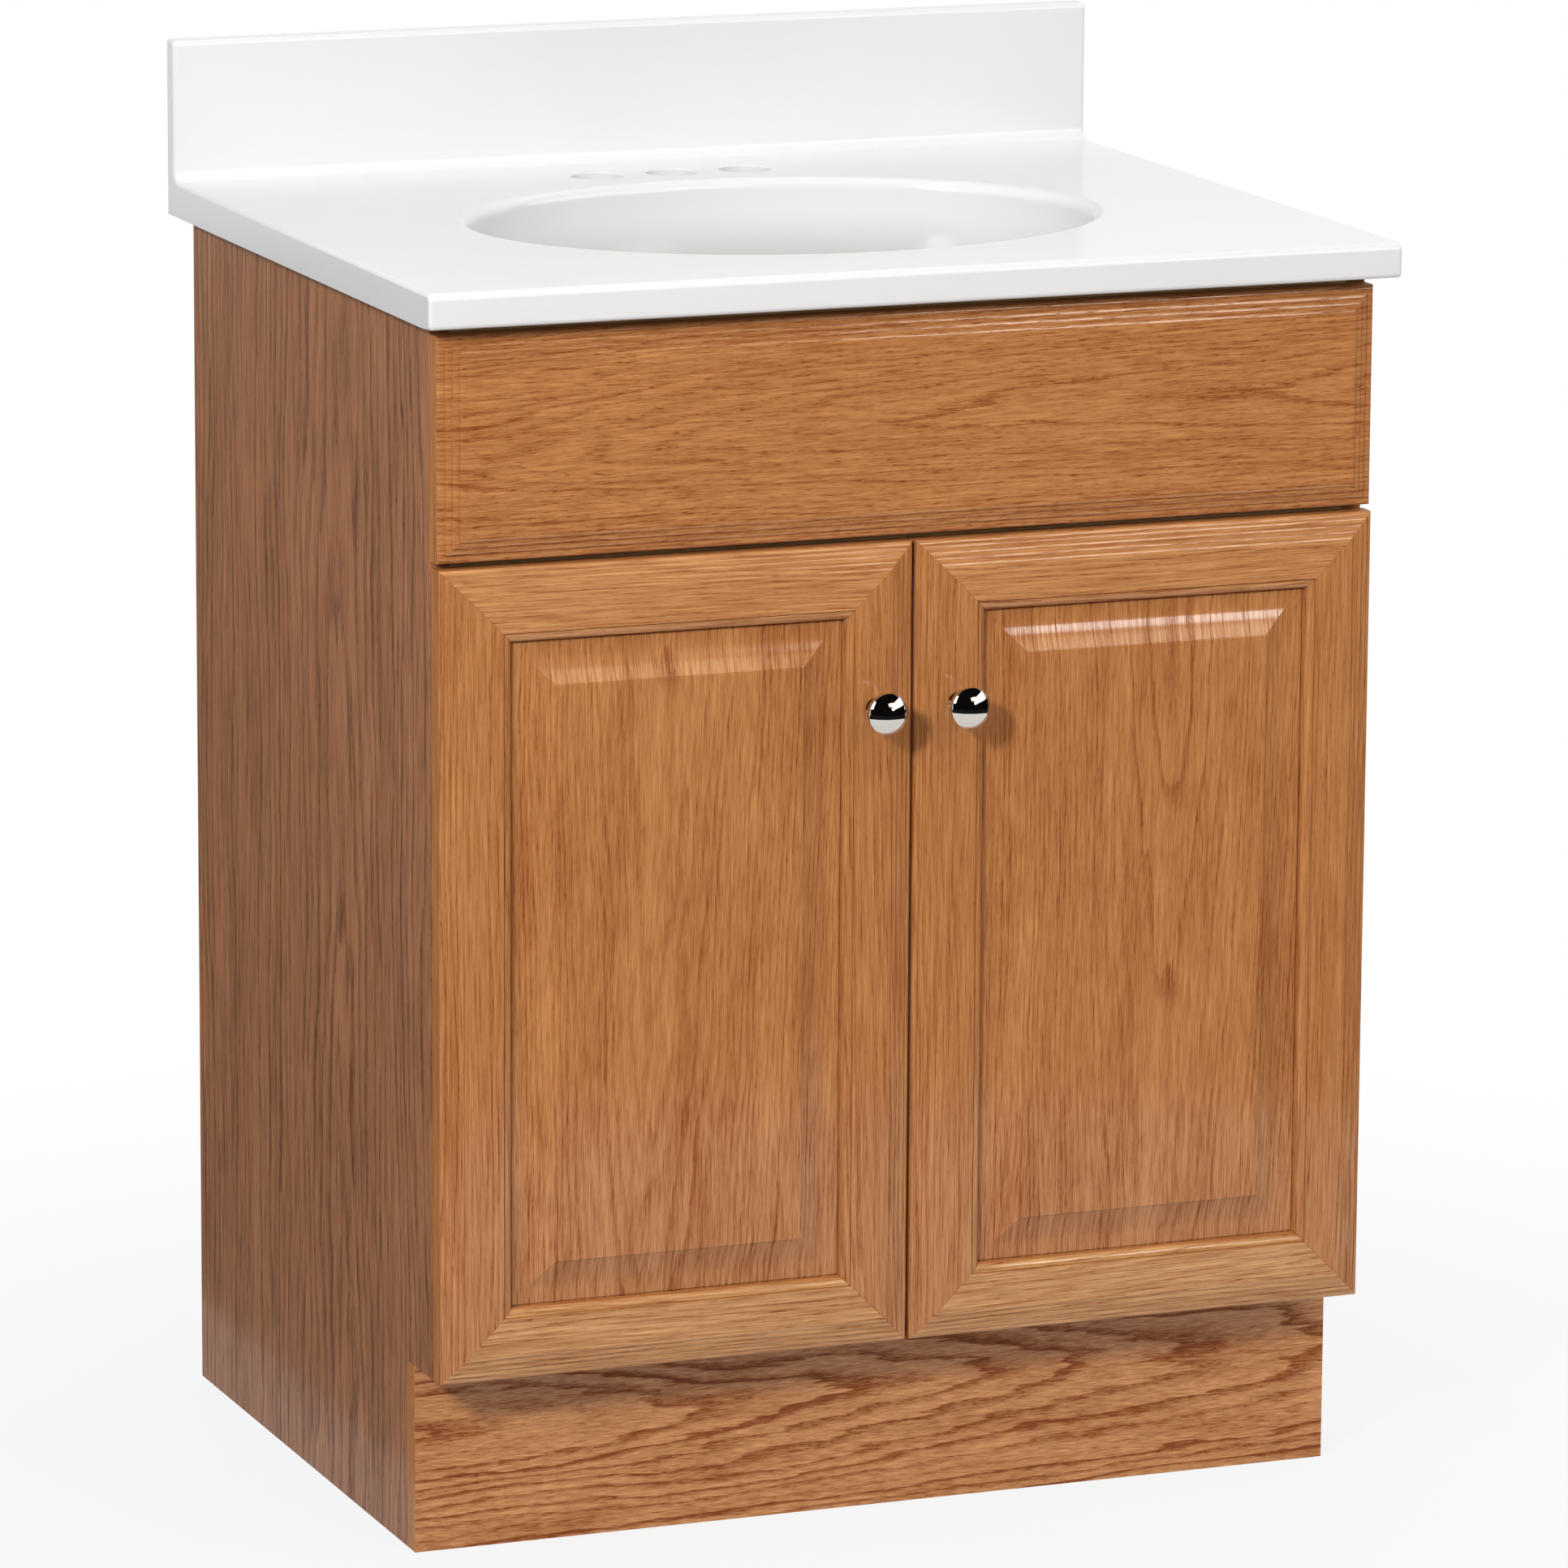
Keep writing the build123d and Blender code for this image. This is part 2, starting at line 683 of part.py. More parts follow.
with BuildPart() as plate_screws:
    rods(facing((-1, 0, 0), plate_seats), plate_screw_radius, plate_thickness + plate_screw_bite)
    rods(facing((1, 0, 0), plate_seats), plate_screw_head_radius, plate_screw_head_height)
save_pair(plate_screws, "hinge_plate_screws")

with BuildPart() as arm_screws:
    rods(facing((-1, 0, 0), arm_screw_seats), arm_screw_radius, arm_thickness + arm_screw_bite)
    rods(facing((1, 0, 0), arm_screw_seats), arm_screw_head_radius, arm_screw_head_height)
save_pair(arm_screws, "hinge_arm_screws")

# Knobs, turned about the line square to the door, with their screws
head_half = knob_head_depth / 2
head_y = door_front - knob_projection + head_half
head_pull = round_share * head_half
head_rise = round_share * knob_head_radius
with BuildPart() as knob:
    with BuildSketch(Plane.YZ.offset(knob_x)):
        with BuildLine():
            tip = (head_y - head_half, knob_z)
            widest = (head_y, knob_z + knob_head_radius)
            pole = (head_y + head_half, knob_z)
            Bezier(tip, (tip[0], knob_z + head_rise), (head_y - head_pull, widest[1]), widest)
            Bezier(widest, (head_y + head_pull, widest[1]), (pole[0], knob_z + head_rise), pole)
            Line(pole, tip)
        make_face()
        with BuildLine():
            base_front = door_front - knob_base_height
            Polyline(
                (door_front, knob_z),
                (door_front, knob_z + knob_base_radius),
                (base_front, knob_z + knob_base_radius),
                (base_front - knob_base_height, knob_z + knob_neck_radius),
                (head_y, knob_z + knob_neck_radius),
                (head_y, knob_z),
                close=True,
            )
        make_face()
    revolve(axis=Axis((knob_x, door_front, knob_z), (0, -1, 0)))
    knob_seat = facing((0, -1, 0), [(knob_x, door_front, knob_z)])
    rods(knob_seat, knob_screw_radius + screw_fit, knob_screw_bite + screw_fit, Mode.SUBTRACT)
save_pair(knob, "knob")

with BuildPart() as knob_screw:
    rods(knob_screw_seat, knob_screw_radius, front_thickness + knob_screw_bite)
    rods(facing((0, 1, 0), [(knob_x, door_back, knob_z)]), knob_screw_head_radius, knob_screw_head_height)
save_pair(knob_screw, "knob_screw")

# Soft bumpers on the doors' backs, over the mid rail and the bottom panel
with BuildPart() as bumpers:
    bumper_points = [(bumper_x, door_back, level) for level in bumper_levels]
    rods(facing((0, 1, 0), bumper_points), bumper_radius, bumper_height)
save_pair(bumpers, "door_bumpers")
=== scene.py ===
# %% [markdown]
# # A bathroom vanity cabinet, dressed for its photograph
#
# The cabinet comes from a drawing program as a frame of exact pieces. This lesson gives those pieces
# their looks: stained oak under satin lacquer, a glossy white cast top and polished knobs. Pieces that
# show are modelled again with rounded edges and smooth curves, in the same place and at the same size,
# and pieces inside the box keep their shape and get a finish.

# %% Load the frame
from math import cos, pi, radians, sin

import bmesh
import bpy
from mathutils import Matrix, Vector
from mathutils.geometry import interpolate_bezier


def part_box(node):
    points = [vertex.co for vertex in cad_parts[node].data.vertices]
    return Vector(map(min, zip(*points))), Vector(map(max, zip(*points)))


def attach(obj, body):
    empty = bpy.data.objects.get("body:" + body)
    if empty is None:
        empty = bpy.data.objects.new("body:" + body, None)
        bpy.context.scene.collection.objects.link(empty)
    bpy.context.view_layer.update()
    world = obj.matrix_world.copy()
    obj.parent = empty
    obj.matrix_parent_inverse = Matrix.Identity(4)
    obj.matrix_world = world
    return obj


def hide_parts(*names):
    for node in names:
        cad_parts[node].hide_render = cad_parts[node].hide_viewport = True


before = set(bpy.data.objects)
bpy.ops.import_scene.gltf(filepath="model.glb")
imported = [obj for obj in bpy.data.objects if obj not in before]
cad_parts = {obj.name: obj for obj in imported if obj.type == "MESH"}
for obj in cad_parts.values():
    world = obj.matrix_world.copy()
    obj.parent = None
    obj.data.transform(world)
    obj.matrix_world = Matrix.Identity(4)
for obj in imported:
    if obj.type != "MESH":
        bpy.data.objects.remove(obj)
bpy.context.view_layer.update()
MM = 0.001

# %% [markdown]
# ## Camera
#
# A product photograph like this one is taken from far away with a long lens, so that the upright edges
# stay nearly parallel. The place, the lean and the focal length below put the corners of the cabinet
# where the photograph has them. A long lens could also be imitated by an orthographic camera, but the
# far edges of the top would then come out too wide.

# %% Camera
IMAGE_WIDTH = 1932
FOCAL_PIXELS = 11055
SENSOR_WIDTH = 36
CAMERA_PLACE = (-2.029, -5.172, 1.598)
CAMERA_YAW = radians(21.48)
CAMERA_PITCH = radians(11.94)
CAMERA_ROLL = radians(0.34)

camera_data = bpy.data.cameras.new("camera")
camera_data.sensor_width = SENSOR_WIDTH
camera_data.lens = FOCAL_PIXELS / IMAGE_WIDTH * SENSOR_WIDTH
camera = bpy.data.objects.new("camera", camera_data)
heading = Matrix.Rotation(-CAMERA_YAW, 4, "Z")
nod = Matrix.Rotation(pi / 2 - CAMERA_PITCH, 4, "X")
lean = Matrix.Rotation(CAMERA_ROLL, 4, "Z")
camera.matrix_world = Matrix.Translation(CAMERA_PLACE) @ heading @ nod @ lean
bpy.context.scene.collection.objects.link(camera)
bpy.context.scene.camera = camera
bpy.context.scene.view_settings.view_transform = "Standard"

print("lens", round(camera_data.lens), "mm")

# %% [markdown]
# ## Helpers for finishes
#
# A finish on a real piece is a colour, a gloss and a fine relief, and in Blender it is a tree of shader
# nodes. A tree can be drawn by hand in the editor, but a script repeats it without slips. One helper
# turns a colour written as sRGB hex into the linear numbers that shaders work with, one adds a node with
# its settings and links, and one starts a material with its constant values.


# %% Helpers for finishes
def colour(hex_code):
    """An sRGB hex colour as linear red, green, blue and alpha."""
    channels = [int(hex_code[i : i + 2], 16) / 255 for i in (1, 3, 5)]
    linear = [c / 12.92 if c <= 0.04045 else ((c + 0.055) / 1.055) ** 2.4 for c in channels]
    return (*linear, 1.0)


def add_node(tree, kind, inputs=None, **settings):
    """Add one shader node of a kind. Inputs are values, or outputs of other nodes to link."""
    node = tree.nodes.new(f"ShaderNode{kind}")
    for name, value in settings.items():
        setattr(node, name, value)
    for socket, value in (inputs or {}).items():
        if isinstance(value, bpy.types.NodeSocket):
            tree.links.new(value, node.inputs[socket])
        else:
            node.inputs[socket].default_value = value
    return node


def start_material(name, **sockets):
    """A material whose Principled shader has the given constant sockets."""
    material = bpy.data.materials.new(name)
    material.use_nodes = True
    surface = material.node_tree.nodes["Principled BSDF"]
    for socket, value in sockets.items():
        surface.inputs[socket.replace("_", " ")].default_value = value
    return material, material.node_tree, surface


print("middle grey is", round(colour("#808080")[0], 3), "in linear light")

# %% [markdown]
# ## Helpers for pieces
#
# Every piece is shaped as a bmesh and closed into an object in the same way: doubled points are merged,
# faces are turned outwards, and shading is smooth except over sharp edges. Sharp edges could be marked by
# hand on each piece, but one angle finds them all. Three more helpers draw an arc, lay a face through
# points and pull a face into a solid, which is how most boards here begin.

# %% Close a piece
PIECE_MERGE = 0.002 * MM
SHARP = radians(35)
MITRE_SLANT = 0.2
FACE_WEIGHT = 100


def finish_piece(name, bm, materials, body, node, mitred=False):
    """Close a bmesh into a piece that replaces a node of the frame and rides on its body."""
    bmesh.ops.remove_doubles(bm, verts=bm.verts, dist=PIECE_MERGE)
    bmesh.ops.recalc_face_normals(bm, faces=bm.faces)
    for face in bm.faces:
        face.smooth = True
    for edge in bm.edges:
        run = edge.verts[1].co - edge.verts[0].co
        mitre = mitred and min(abs(run.x), abs(run.z)) > MITRE_SLANT * run.length
        edge.smooth = len(edge.link_faces) == 2 and edge.calc_face_angle() < SHARP and not mitre
    mesh = bpy.data.meshes.new(name)
    bm.to_mesh(mesh)
    bm.free()
    for material in materials:
        mesh.materials.append(material)
    piece = bpy.data.objects.new(name, mesh)
    bpy.context.scene.collection.objects.link(piece)
    weighted = piece.modifiers.new("even shading", "WEIGHTED_NORMAL")
    weighted.keep_sharp = True
    weighted.weight = FACE_WEIGHT
    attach(piece, body)
    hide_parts(node)
    print(name, len(mesh.polygons), "faces")
    return piece


print("edges are sharp from", round(SHARP, 2), "radians")


# %% Sections and solids
def arc(center, radius, start, end, steps):
    """Points along a circular arc in a section, between two angles in degrees."""
    angles = [radians(start + (end - start) * i / steps) for i in range(steps + 1)]
    return [(center[0] + radius * cos(a), center[1] + radius * sin(a)) for a in angles]


def outline_face(bm, points):
    """One face through the given points."""
    return bm.faces.new([bm.verts.new(p) for p in points])


def pull(bm, face, direction):
    """Extrude a face along a direction into a closed solid."""
    made = bmesh.ops.extrude_face_region(bm, geom=[face], use_keep_orig=True)
    moved = [v for v in made["geom"] if isinstance(v, bmesh.types.BMVert)]
    bmesh.ops.translate(bm, verts=moved, vec=direction)


print("a quarter round of four steps has", len(arc((0, 0), 1, 0, 90, steps=4)), "points")

# %% [markdown]
# ## Stained oak
#
# The fronts are flat-sawn oak under an orange-brown stain and a satin lacquer. A trunk is a stack of
# growth rings round its pith, and a board is a flat cut through them. The arches and stripes on a board
# could be drawn as wavy bands, but they need not be: the rings are computed as distances from a pith
# that leans behind the board, and the board's own surface cuts them. Slow noise bends the rings, a sharp
# dark start and a slow fade give each ring its open-pored early wood, and long thin dashes are the pores.

# %% Patterns of the wood
# Length along the trunk, width across it, and detail. Real pores are about 0.3 mm wide, and fibres are
# finer still. Both are drawn wider here, so that they show in the picture.
PORE = (7 * MM, 0.55 * MM, 1.0)
FIBRE = (45 * MM, 0.8 * MM, 3.0)
STREAK = (180 * MM, 4.5 * MM, 3.0)
FLAME = (170 * MM, 20 * MM, 2.0)
BEND = (240 * MM, 42 * MM, 4.0)


def patches(tree, log, pattern, spread, output="Fac"):
    """Noise drawn out along the trunk. A spread above 1 widens its patches."""
    length, width, detail = pattern
    stretch = (1 / length, 1 / (spread * width), 1 / (spread * width))
    stretched = add_node(tree, "VectorMath", {0: log, 1: stretch}, operation="MULTIPLY").outputs[0]
    noise = {"Vector": stretched, "Scale": 1.0, "Detail": detail}
    return add_node(tree, "TexNoise", noise).outputs[output]


print("pores are", round(PORE[0] / PORE[1]), "times as long as wide")

# %% Place in the log
# The veneer is wrapped over the mouldings, so depth behind a face doesn't change its grain.
FRONT_FACE = (1.0, 0.0, 1.0)
SIDE_FACE = (0.0, 1.0, 1.0)
LEVEL_FACE = (1.0, 1.0, 0.0)


def place_in_log(tree, pith, trunk, face):
    """Coordinates along a trunk and across it, from a point on its pith."""
    place = add_node(tree, "TexCoord").outputs["Object"]
    flat = add_node(tree, "VectorMath", {0: place, 1: face}, operation="MULTIPLY").outputs[0]
    turn = Vector(trunk).to_track_quat("X", "Z").to_euler()
    log = {"Vector": flat, "Location": pith, "Rotation": turn}
    return add_node(tree, "Mapping", log, vector_type="TEXTURE").outputs[0]


print("veneer on a front ignores depth:", FRONT_FACE)

# %% Growth rings
# Shares of a ring: early wood sets in over the first, and fades out between the other two.
ONSET = 0.1
FADE = (0.08, 0.6)
FAINTEST_RING = 0.15
NOISE_MIDDLE = (0.5, 0.5, 0.5)
ACROSS = (0.0, 1.0, 1.0)


def growth_rings(tree, log, streak, ring, bend, spread):
    """How much early wood there is at a place, from 0 to 1."""
    # The log bends: its cross-section is pushed about by slow noise before the rings are measured.
    wander = patches(tree, log, BEND, spread, "Color")
    push = add_node(tree, "VectorMath", {0: wander, 1: NOISE_MIDDLE}, operation="SUBTRACT").outputs[0]
    bent = add_node(
        tree, "VectorMath", {0: push, 1: (0.0, bend, bend), 2: log}, operation="MULTIPLY_ADD"
    ).outputs[0]
    flat = add_node(tree, "VectorMath", {0: bent, 1: ACROSS}, operation="MULTIPLY").outputs[0]
    radius = add_node(tree, "VectorMath", {0: flat}, operation="LENGTH").outputs["Value"]
    rings = add_node(
        tree, "Math", {0: radius, 1: 1 / ring, 2: streak}, operation="MULTIPLY_ADD"
    ).outputs[0]
    share = add_node(tree, "Math", {0: rings}, operation="FRACT").outputs[0]
    start = add_node(
        tree, "MapRange", {"Value": share, "From Max": ONSET}, interpolation_type="SMOOTHSTEP"
    ).outputs[0]
    fade = add_node(
        tree,
        "MapRange",
        {"Value": share, "From Min": FADE[0], "From Max": FADE[1], "To Min": 1.0, "To Max": 0.0},
        interpolation_type="SMOOTHSTEP",
    ).outputs[0]
    early = add_node(tree, "Math", {0: fade, 1: start}, operation="MULTIPLY").outputs[0]
    # No two rings are equally dark.
    year = add_node(tree, "Math", {0: rings}, operation="FLOOR").outputs[0]
    mood = add_node(tree, "TexWhiteNoise", {"W": year}, noise_dimensions="1D").outputs["Value"]
    weight = add_node(tree, "MapRange", {"Value": mood, "To Min": FAINTEST_RING}).outputs[0]
    return add_node(tree, "Math", {0: early, 1: weight}, operation="MULTIPLY").outputs[0]


print("early wood takes", FADE[1], "of a ring")

# %% Pores
PORE_EDGE = (0.53, 0.68)
LATE_PORES = 0.3


def open_pores(tree, log, early, spread):
    """Pores that hold the stain: all of them in early wood, and a share in late wood."""
    cells = {"Value": patches(tree, log, PORE, spread), "From Min": PORE_EDGE[0], "From Max": PORE_EDGE[1]}
    dashes = add_node(tree, "MapRange", cells, interpolation_type="SMOOTHSTEP").outputs[0]
    porous = add_node(
        tree, "Math", {0: early, 1: 1 - LATE_PORES, 2: LATE_PORES}, operation="MULTIPLY_ADD"
    ).outputs[0]
    return add_node(tree, "Math", {0: dashes, 1: porous}, operation="MULTIPLY").outputs[0]


print("late wood keeps", LATE_PORES, "of its pores")

# %% Stained oak
# Stain darkens the pores and the early wood and leaves the rest a warm orange brown. The satin lacquer
# over it gives soft reflections, fuller on dense late wood than on porous early wood.
FRONT_LIGHT = "#c58952"
FRONT_DARK = "#80401a"
STRIPE_RING = 2.4 * MM
WAVE = 12 * MM
FIBRE_BASE = -0.6
FIBRE_WEIGHT = 1.8
STREAK_WEIGHT = 0.6
PALEST = 0.1
TONE_SPAN = 1.25
FULL_LACQUER = 1.5
LEAN_LACQUER = 0.25
LACQUER_TONES = (0.35, 0.8)
PORE_DEPTH = 0.12 * MM


def stained_oak(
    name,
    pith,
    trunk,
    ring=STRIPE_RING,
    bend=WAVE,
    light=FRONT_LIGHT,
    dark=FRONT_DARK,
    face=FRONT_FACE,
    band=0.55,
    flame=0.6,
    pores=0.5,
    lacquer=0.65,
    spread=1.0,
):
    """Oak veneer whose rings run round a pith point along the trunk.

    Ring is the width of a ring and bend how far rings wander, in metres. Band, flame, pores and lacquer
    say how strongly each of these shows, and spread how much wider than usual the patterns are.
    """
    material, tree, surface = start_material(
        name, Roughness=0.5, IOR=1.5, Specular_IOR_Level=0.12, Coat_Roughness=0.12
    )
    log = place_in_log(tree, pith, trunk, face)
    streak = patches(tree, log, STREAK, spread)
    early = growth_rings(tree, log, streak, ring, bend, spread)
    pore = open_pores(tree, log, early, spread)
    tone = FIBRE_BASE
    for pattern, weight in (
        (patches(tree, log, FIBRE, spread), FIBRE_WEIGHT),
        (streak, STREAK_WEIGHT),
        (patches(tree, log, FLAME, spread), flame),
        (early, band),
        (pore, pores),
    ):
        tone = add_node(
            tree, "Math", {0: pattern, 1: weight, 2: tone}, operation="MULTIPLY_ADD"
        ).outputs[0]
    pale = PALEST + flame / 2
    tone = add_node(
        tree, "MapRange", {"Value": tone, "From Min": pale, "From Max": pale + TONE_SPAN}
    ).outputs[0]
    wood = add_node(
        tree, "Mix", {0: tone, 6: colour(light), 7: colour(dark)}, data_type="RGBA"
    ).outputs[2]
    tree.links.new(wood, surface.inputs["Base Color"])
    if lacquer:
        coat = {"To Min": FULL_LACQUER * lacquer, "To Max": LEAN_LACQUER * lacquer}
        tones = {"Value": tone, "From Min": LACQUER_TONES[0], "From Max": LACQUER_TONES[1]}
        gloss = add_node(tree, "MapRange", {**tones, **coat}).outputs[0]
        tree.links.new(gloss, surface.inputs["Coat Weight"])
    relief = add_node(
        tree, "Bump", {"Strength": 0.3, "Distance": PORE_DEPTH, "Height": pore}, invert=True
    ).outputs[0]
    tree.links.new(relief, surface.inputs["Normal"])
    return material


print("plain oak has", round(10 * MM / STRIPE_RING, 1), "rings in a centimetre")

# %% [markdown]
# ## Boards of oak
#
# Each board is cut from its own log: its material says where the pith lies and which way the trunk
# leans. One oak for all of them would be shorter, but the grain would then run on from piece to piece. A
# pith that leans steeply behind a board gives arches, and one that runs along it gives plain stripes.
# Frame members of a door are plain, and the panels, the false front and the toe kick are showy.

# %% Boards of the doors
RAIL_LIGHT = "#d29861"
PALE_RAIL_LIGHT = "#d7a369"
ARCH_RING = 2.8 * MM
PLAIN = {"band": 0.35, "flame": 0.3}
# The way along X from each side towards the middle.
INWARDS = {"left": 1, "right": -1}

oak_of = {}
for side, inwards in INWARDS.items():
    panel = f"{side}_door_panel"
    low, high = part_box(panel)
    middle = (low + high) / 2
    oak_of[panel] = stained_oak(
        f"stained oak {side} door panel",
        pith=(middle.x - 12 * MM * inwards, 55 * MM, middle.z + 110 * MM * inwards),
        trunk=(0.02, -0.035, 1),
        ring=ARCH_RING,
        band=0.42,
        flame=0.9,
    )
    stiles = (("hinge_stile", 60 * MM, 200 * MM), ("knob_stile", -50 * MM, 500 * MM))
    for member, shift, height in stiles:
        low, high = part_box(f"{side}_door_{member}")
        oak_of[f"{side}_door_{member}"] = stained_oak(
            f"stained oak {side} door {member}",
            pith=((low.x + high.x) / 2 + shift, 70 * MM, height),
            trunk=(-0.01 * inwards, 0.015, 1),
            **PLAIN,
        )
    rails = (
        ("top_rail", -60 * MM, 100 * MM, RAIL_LIGHT),
        ("bottom_rail", 50 * MM, -100 * MM, PALE_RAIL_LIGHT),
    )
    for member, shift, reach, light in rails:
        low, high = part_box(f"{side}_door_{member}")
        oak_of[f"{side}_door_{member}"] = stained_oak(
            f"stained oak {side} door {member}",
            pith=(reach, 60 * MM, (low.z + high.z) / 2 + shift),
            trunk=(1, 0.015, -0.01 * inwards),
            light=light,
            **PLAIN,
        )
print(len(oak_of), "boards for the doors")

# %% Boards of the box
TOE_LIGHT = "#d99a5d"
SIDE_LIGHT = "#ba815b"
SIDE_DARK = "#5e3a24"

false_low, false_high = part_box("false_front")
oak_of["false_front"] = stained_oak(
    "stained oak false front",
    pith=(150 * MM, 42 * MM, (false_low.z + false_high.z) / 2 + 5 * MM),
    trunk=(1, -0.03, 0.01),
    band=0.45,
    flame=0.4,
    pores=1.1,
)
toe_low, toe_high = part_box("toe_kick")
oak_of["toe_kick"] = stained_oak(
    "stained oak toe kick",
    pith=(50 * MM, 40 * MM, toe_low.z + 75 * MM),
    trunk=(1, 0.07, 0.0),
    ring=6 * MM,
    bend=24 * MM,
    light=TOE_LIGHT,
    band=0.8,
    pores=0.7,
)
# The sides are a printed paper: grain a size larger and duller, with hardly any lacquer.
for side in INWARDS:
    low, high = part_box(f"{side}_side_panel")
    oak_of[f"{side}_side_panel"] = stained_oak(
        f"printed oak {side} side",
        pith=(50 * MM, (low.y + high.y) / 2 - 60 * MM, 350 * MM),
        trunk=(0.03, 0.004, 1),
        ring=9 * MM,
        bend=34 * MM,
        light=SIDE_LIGHT,
        dark=SIDE_DARK,
        face=SIDE_FACE,
        lacquer=0.12,
        spread=1.7,
    )
# Narrow edges have grain of their own, which runs along them.
edging = {
    way: stained_oak(
        f"stained oak edging {way}",
        pith=(0.0, -100 * MM, 0.0),
        trunk=trunk,
        face=face,
        band=0.3,
        flame=0.3,
        lacquer=0.1,
    )
    for way, trunk, face in (
        ("upright", (0.02, 0.01, 1), SIDE_FACE),
        ("level", (1, 0.01, 0.02), LEVEL_FACE),
    )
}
print(len(oak_of), "oak boards and", len(edging), "edgings")

# %% [markdown]
# ## Door frames
#
# Each door has four members with one moulded section: a rounded lip, four small reeds, a flat and a bead
# by the panel. A section pulled along the member and cut to a mitre at both ends is how the real one is
# milled and sawn, and it is quicker here too than modelling a frame in one piece.

# %% Moulded edge
FRONT_THICKNESS = 19 * MM
LIP_THICKNESS = 14 * MM
EDGE_ROUND = 2.4 * MM
REED_RISER = 0.5 * MM
REED_POINTS = 6
# How far a reed's curve follows its crest, leans out of its riser and follows it up, as shares.
CREST_REACH = 0.7
RISER_LEAN = 0.05
RISER_REACH = 0.5


def moulded_edge(reed_start, reed_width, reed_count):
    """Section points of a front's outer edge, from the lip's side to the last reed: inset and depth."""
    lip = arc((EDGE_ROUND, LIP_THICKNESS - EDGE_ROUND), EDGE_ROUND, 180, 90, steps=5)
    points = [*lip, (reed_start, LIP_THICKNESS)]
    rise = (FRONT_THICKNESS - LIP_THICKNESS) / reed_count
    for reed in range(reed_count):
        foot = Vector((reed_start + reed * reed_width, LIP_THICKNESS + reed * rise, 0))
        riser = foot + Vector((0, REED_RISER, 0))
        crest = foot + Vector((reed_width, rise, 0))
        upright = riser + Vector((RISER_LEAN * reed_width, RISER_REACH * (rise - REED_RISER), 0))
        level = crest - Vector((CREST_REACH * reed_width, 0, 0))
        curve = interpolate_bezier(riser, upright, level, crest, REED_POINTS)
        points += [(p.x, p.y) for p in curve]
    return points


print("the edge rises", round((FRONT_THICKNESS - LIP_THICKNESS) / MM), "mm over its reeds")

# %% Frame section
FRAME_WIDTH = 45 * MM
REED_START = 3.4 * MM
REED_WIDTH = 3.6 * MM
REED_COUNT = 4
BEAD_WIDTH = 5.4 * MM
BEAD_DROP = 4.8 * MM
BEAD_POINTS = 7
BEAD_SHOULDER = 0.35
BEAD_FALL = 0.4
QUIRK = 0.9 * MM
QUIRK_GROOVE = 0.6 * MM
QUIRK_LEAN = 0.3
GROOVE_DEPTH = 5 * MM
GROOVE_BACK = 5.85 * MM
GROOVE_FRONT = 12.65 * MM


def frame_section():
    """Section of a door frame member: inset from the outer edge, and depth from the back."""
    bead_start = FRAME_WIDTH - BEAD_WIDTH
    bead_top = FRONT_THICKNESS - QUIRK
    bead = interpolate_bezier(
        Vector((bead_start, bead_top, 0)),
        Vector((FRAME_WIDTH - BEAD_SHOULDER * BEAD_WIDTH, bead_top, 0)),
        Vector((FRAME_WIDTH, bead_top - BEAD_FALL * BEAD_DROP, 0)),
        Vector((FRAME_WIDTH, bead_top - BEAD_DROP, 0)),
        BEAD_POINTS,
    )
    return [
        (0, 0),
        *moulded_edge(REED_START, REED_WIDTH, REED_COUNT),
        (bead_start - QUIRK_GROOVE, FRONT_THICKNESS),
        (bead_start - QUIRK_LEAN * QUIRK_GROOVE, bead_top - QUIRK_GROOVE),
        *[(p.x, p.y) for p in bead],
        (FRAME_WIDTH, GROOVE_FRONT),
        (FRAME_WIDTH - GROOVE_DEPTH, GROOVE_FRONT),
        (FRAME_WIDTH - GROOVE_DEPTH, GROOVE_BACK),
        (FRAME_WIDTH, GROOVE_BACK),
        (FRAME_WIDTH, 0),
    ]


print("frame section of", len(frame_section()), "points")

# %% Mitred members
MITRE_EASE = 0.25 * MM
STEEP = 0.9


def frame_member(corner, inset, along, length):
    """A member from an outer corner of the door, with its section's inset and length directions."""
    inset, along = Vector(inset), Vector(along)
    bm = bmesh.new()
    front = Vector((0, -1, 0))
    section = [corner + inset * x + front * d for x, d in frame_section()]
    pull(bm, outline_face(bm, section), along * length)
    for end, outward in ((corner, -along), (corner + along * length, along)):
        parts = [*bm.verts, *bm.edges, *bm.faces]
        cut = bmesh.ops.bisect_plane(
            bm, geom=parts, plane_co=end, plane_no=(outward + inset).normalized(), clear_outer=True
        )
        rim = [e for e in cut["geom_cut"] if isinstance(e, bmesh.types.BMEdge)]
        bmesh.ops.contextual_create(bm, geom=rim)
        bmesh.ops.bevel(
            bm, geom=rim, offset=MITRE_EASE, segments=1, profile=0.5, affect="EDGES", material=-1
        )
    return bm


def edged(bm, oak):
    """Give the faces that look sideways or up and down their own edging. Returns the materials."""
    bmesh.ops.recalc_face_normals(bm, faces=bm.faces)
    for face in bm.faces:
        if abs(face.normal.x) > STEEP:
            face.material_index = 1
        elif abs(face.normal.z) > STEEP:
            face.material_index = 2
    return [oak, edging["upright"], edging["level"]]


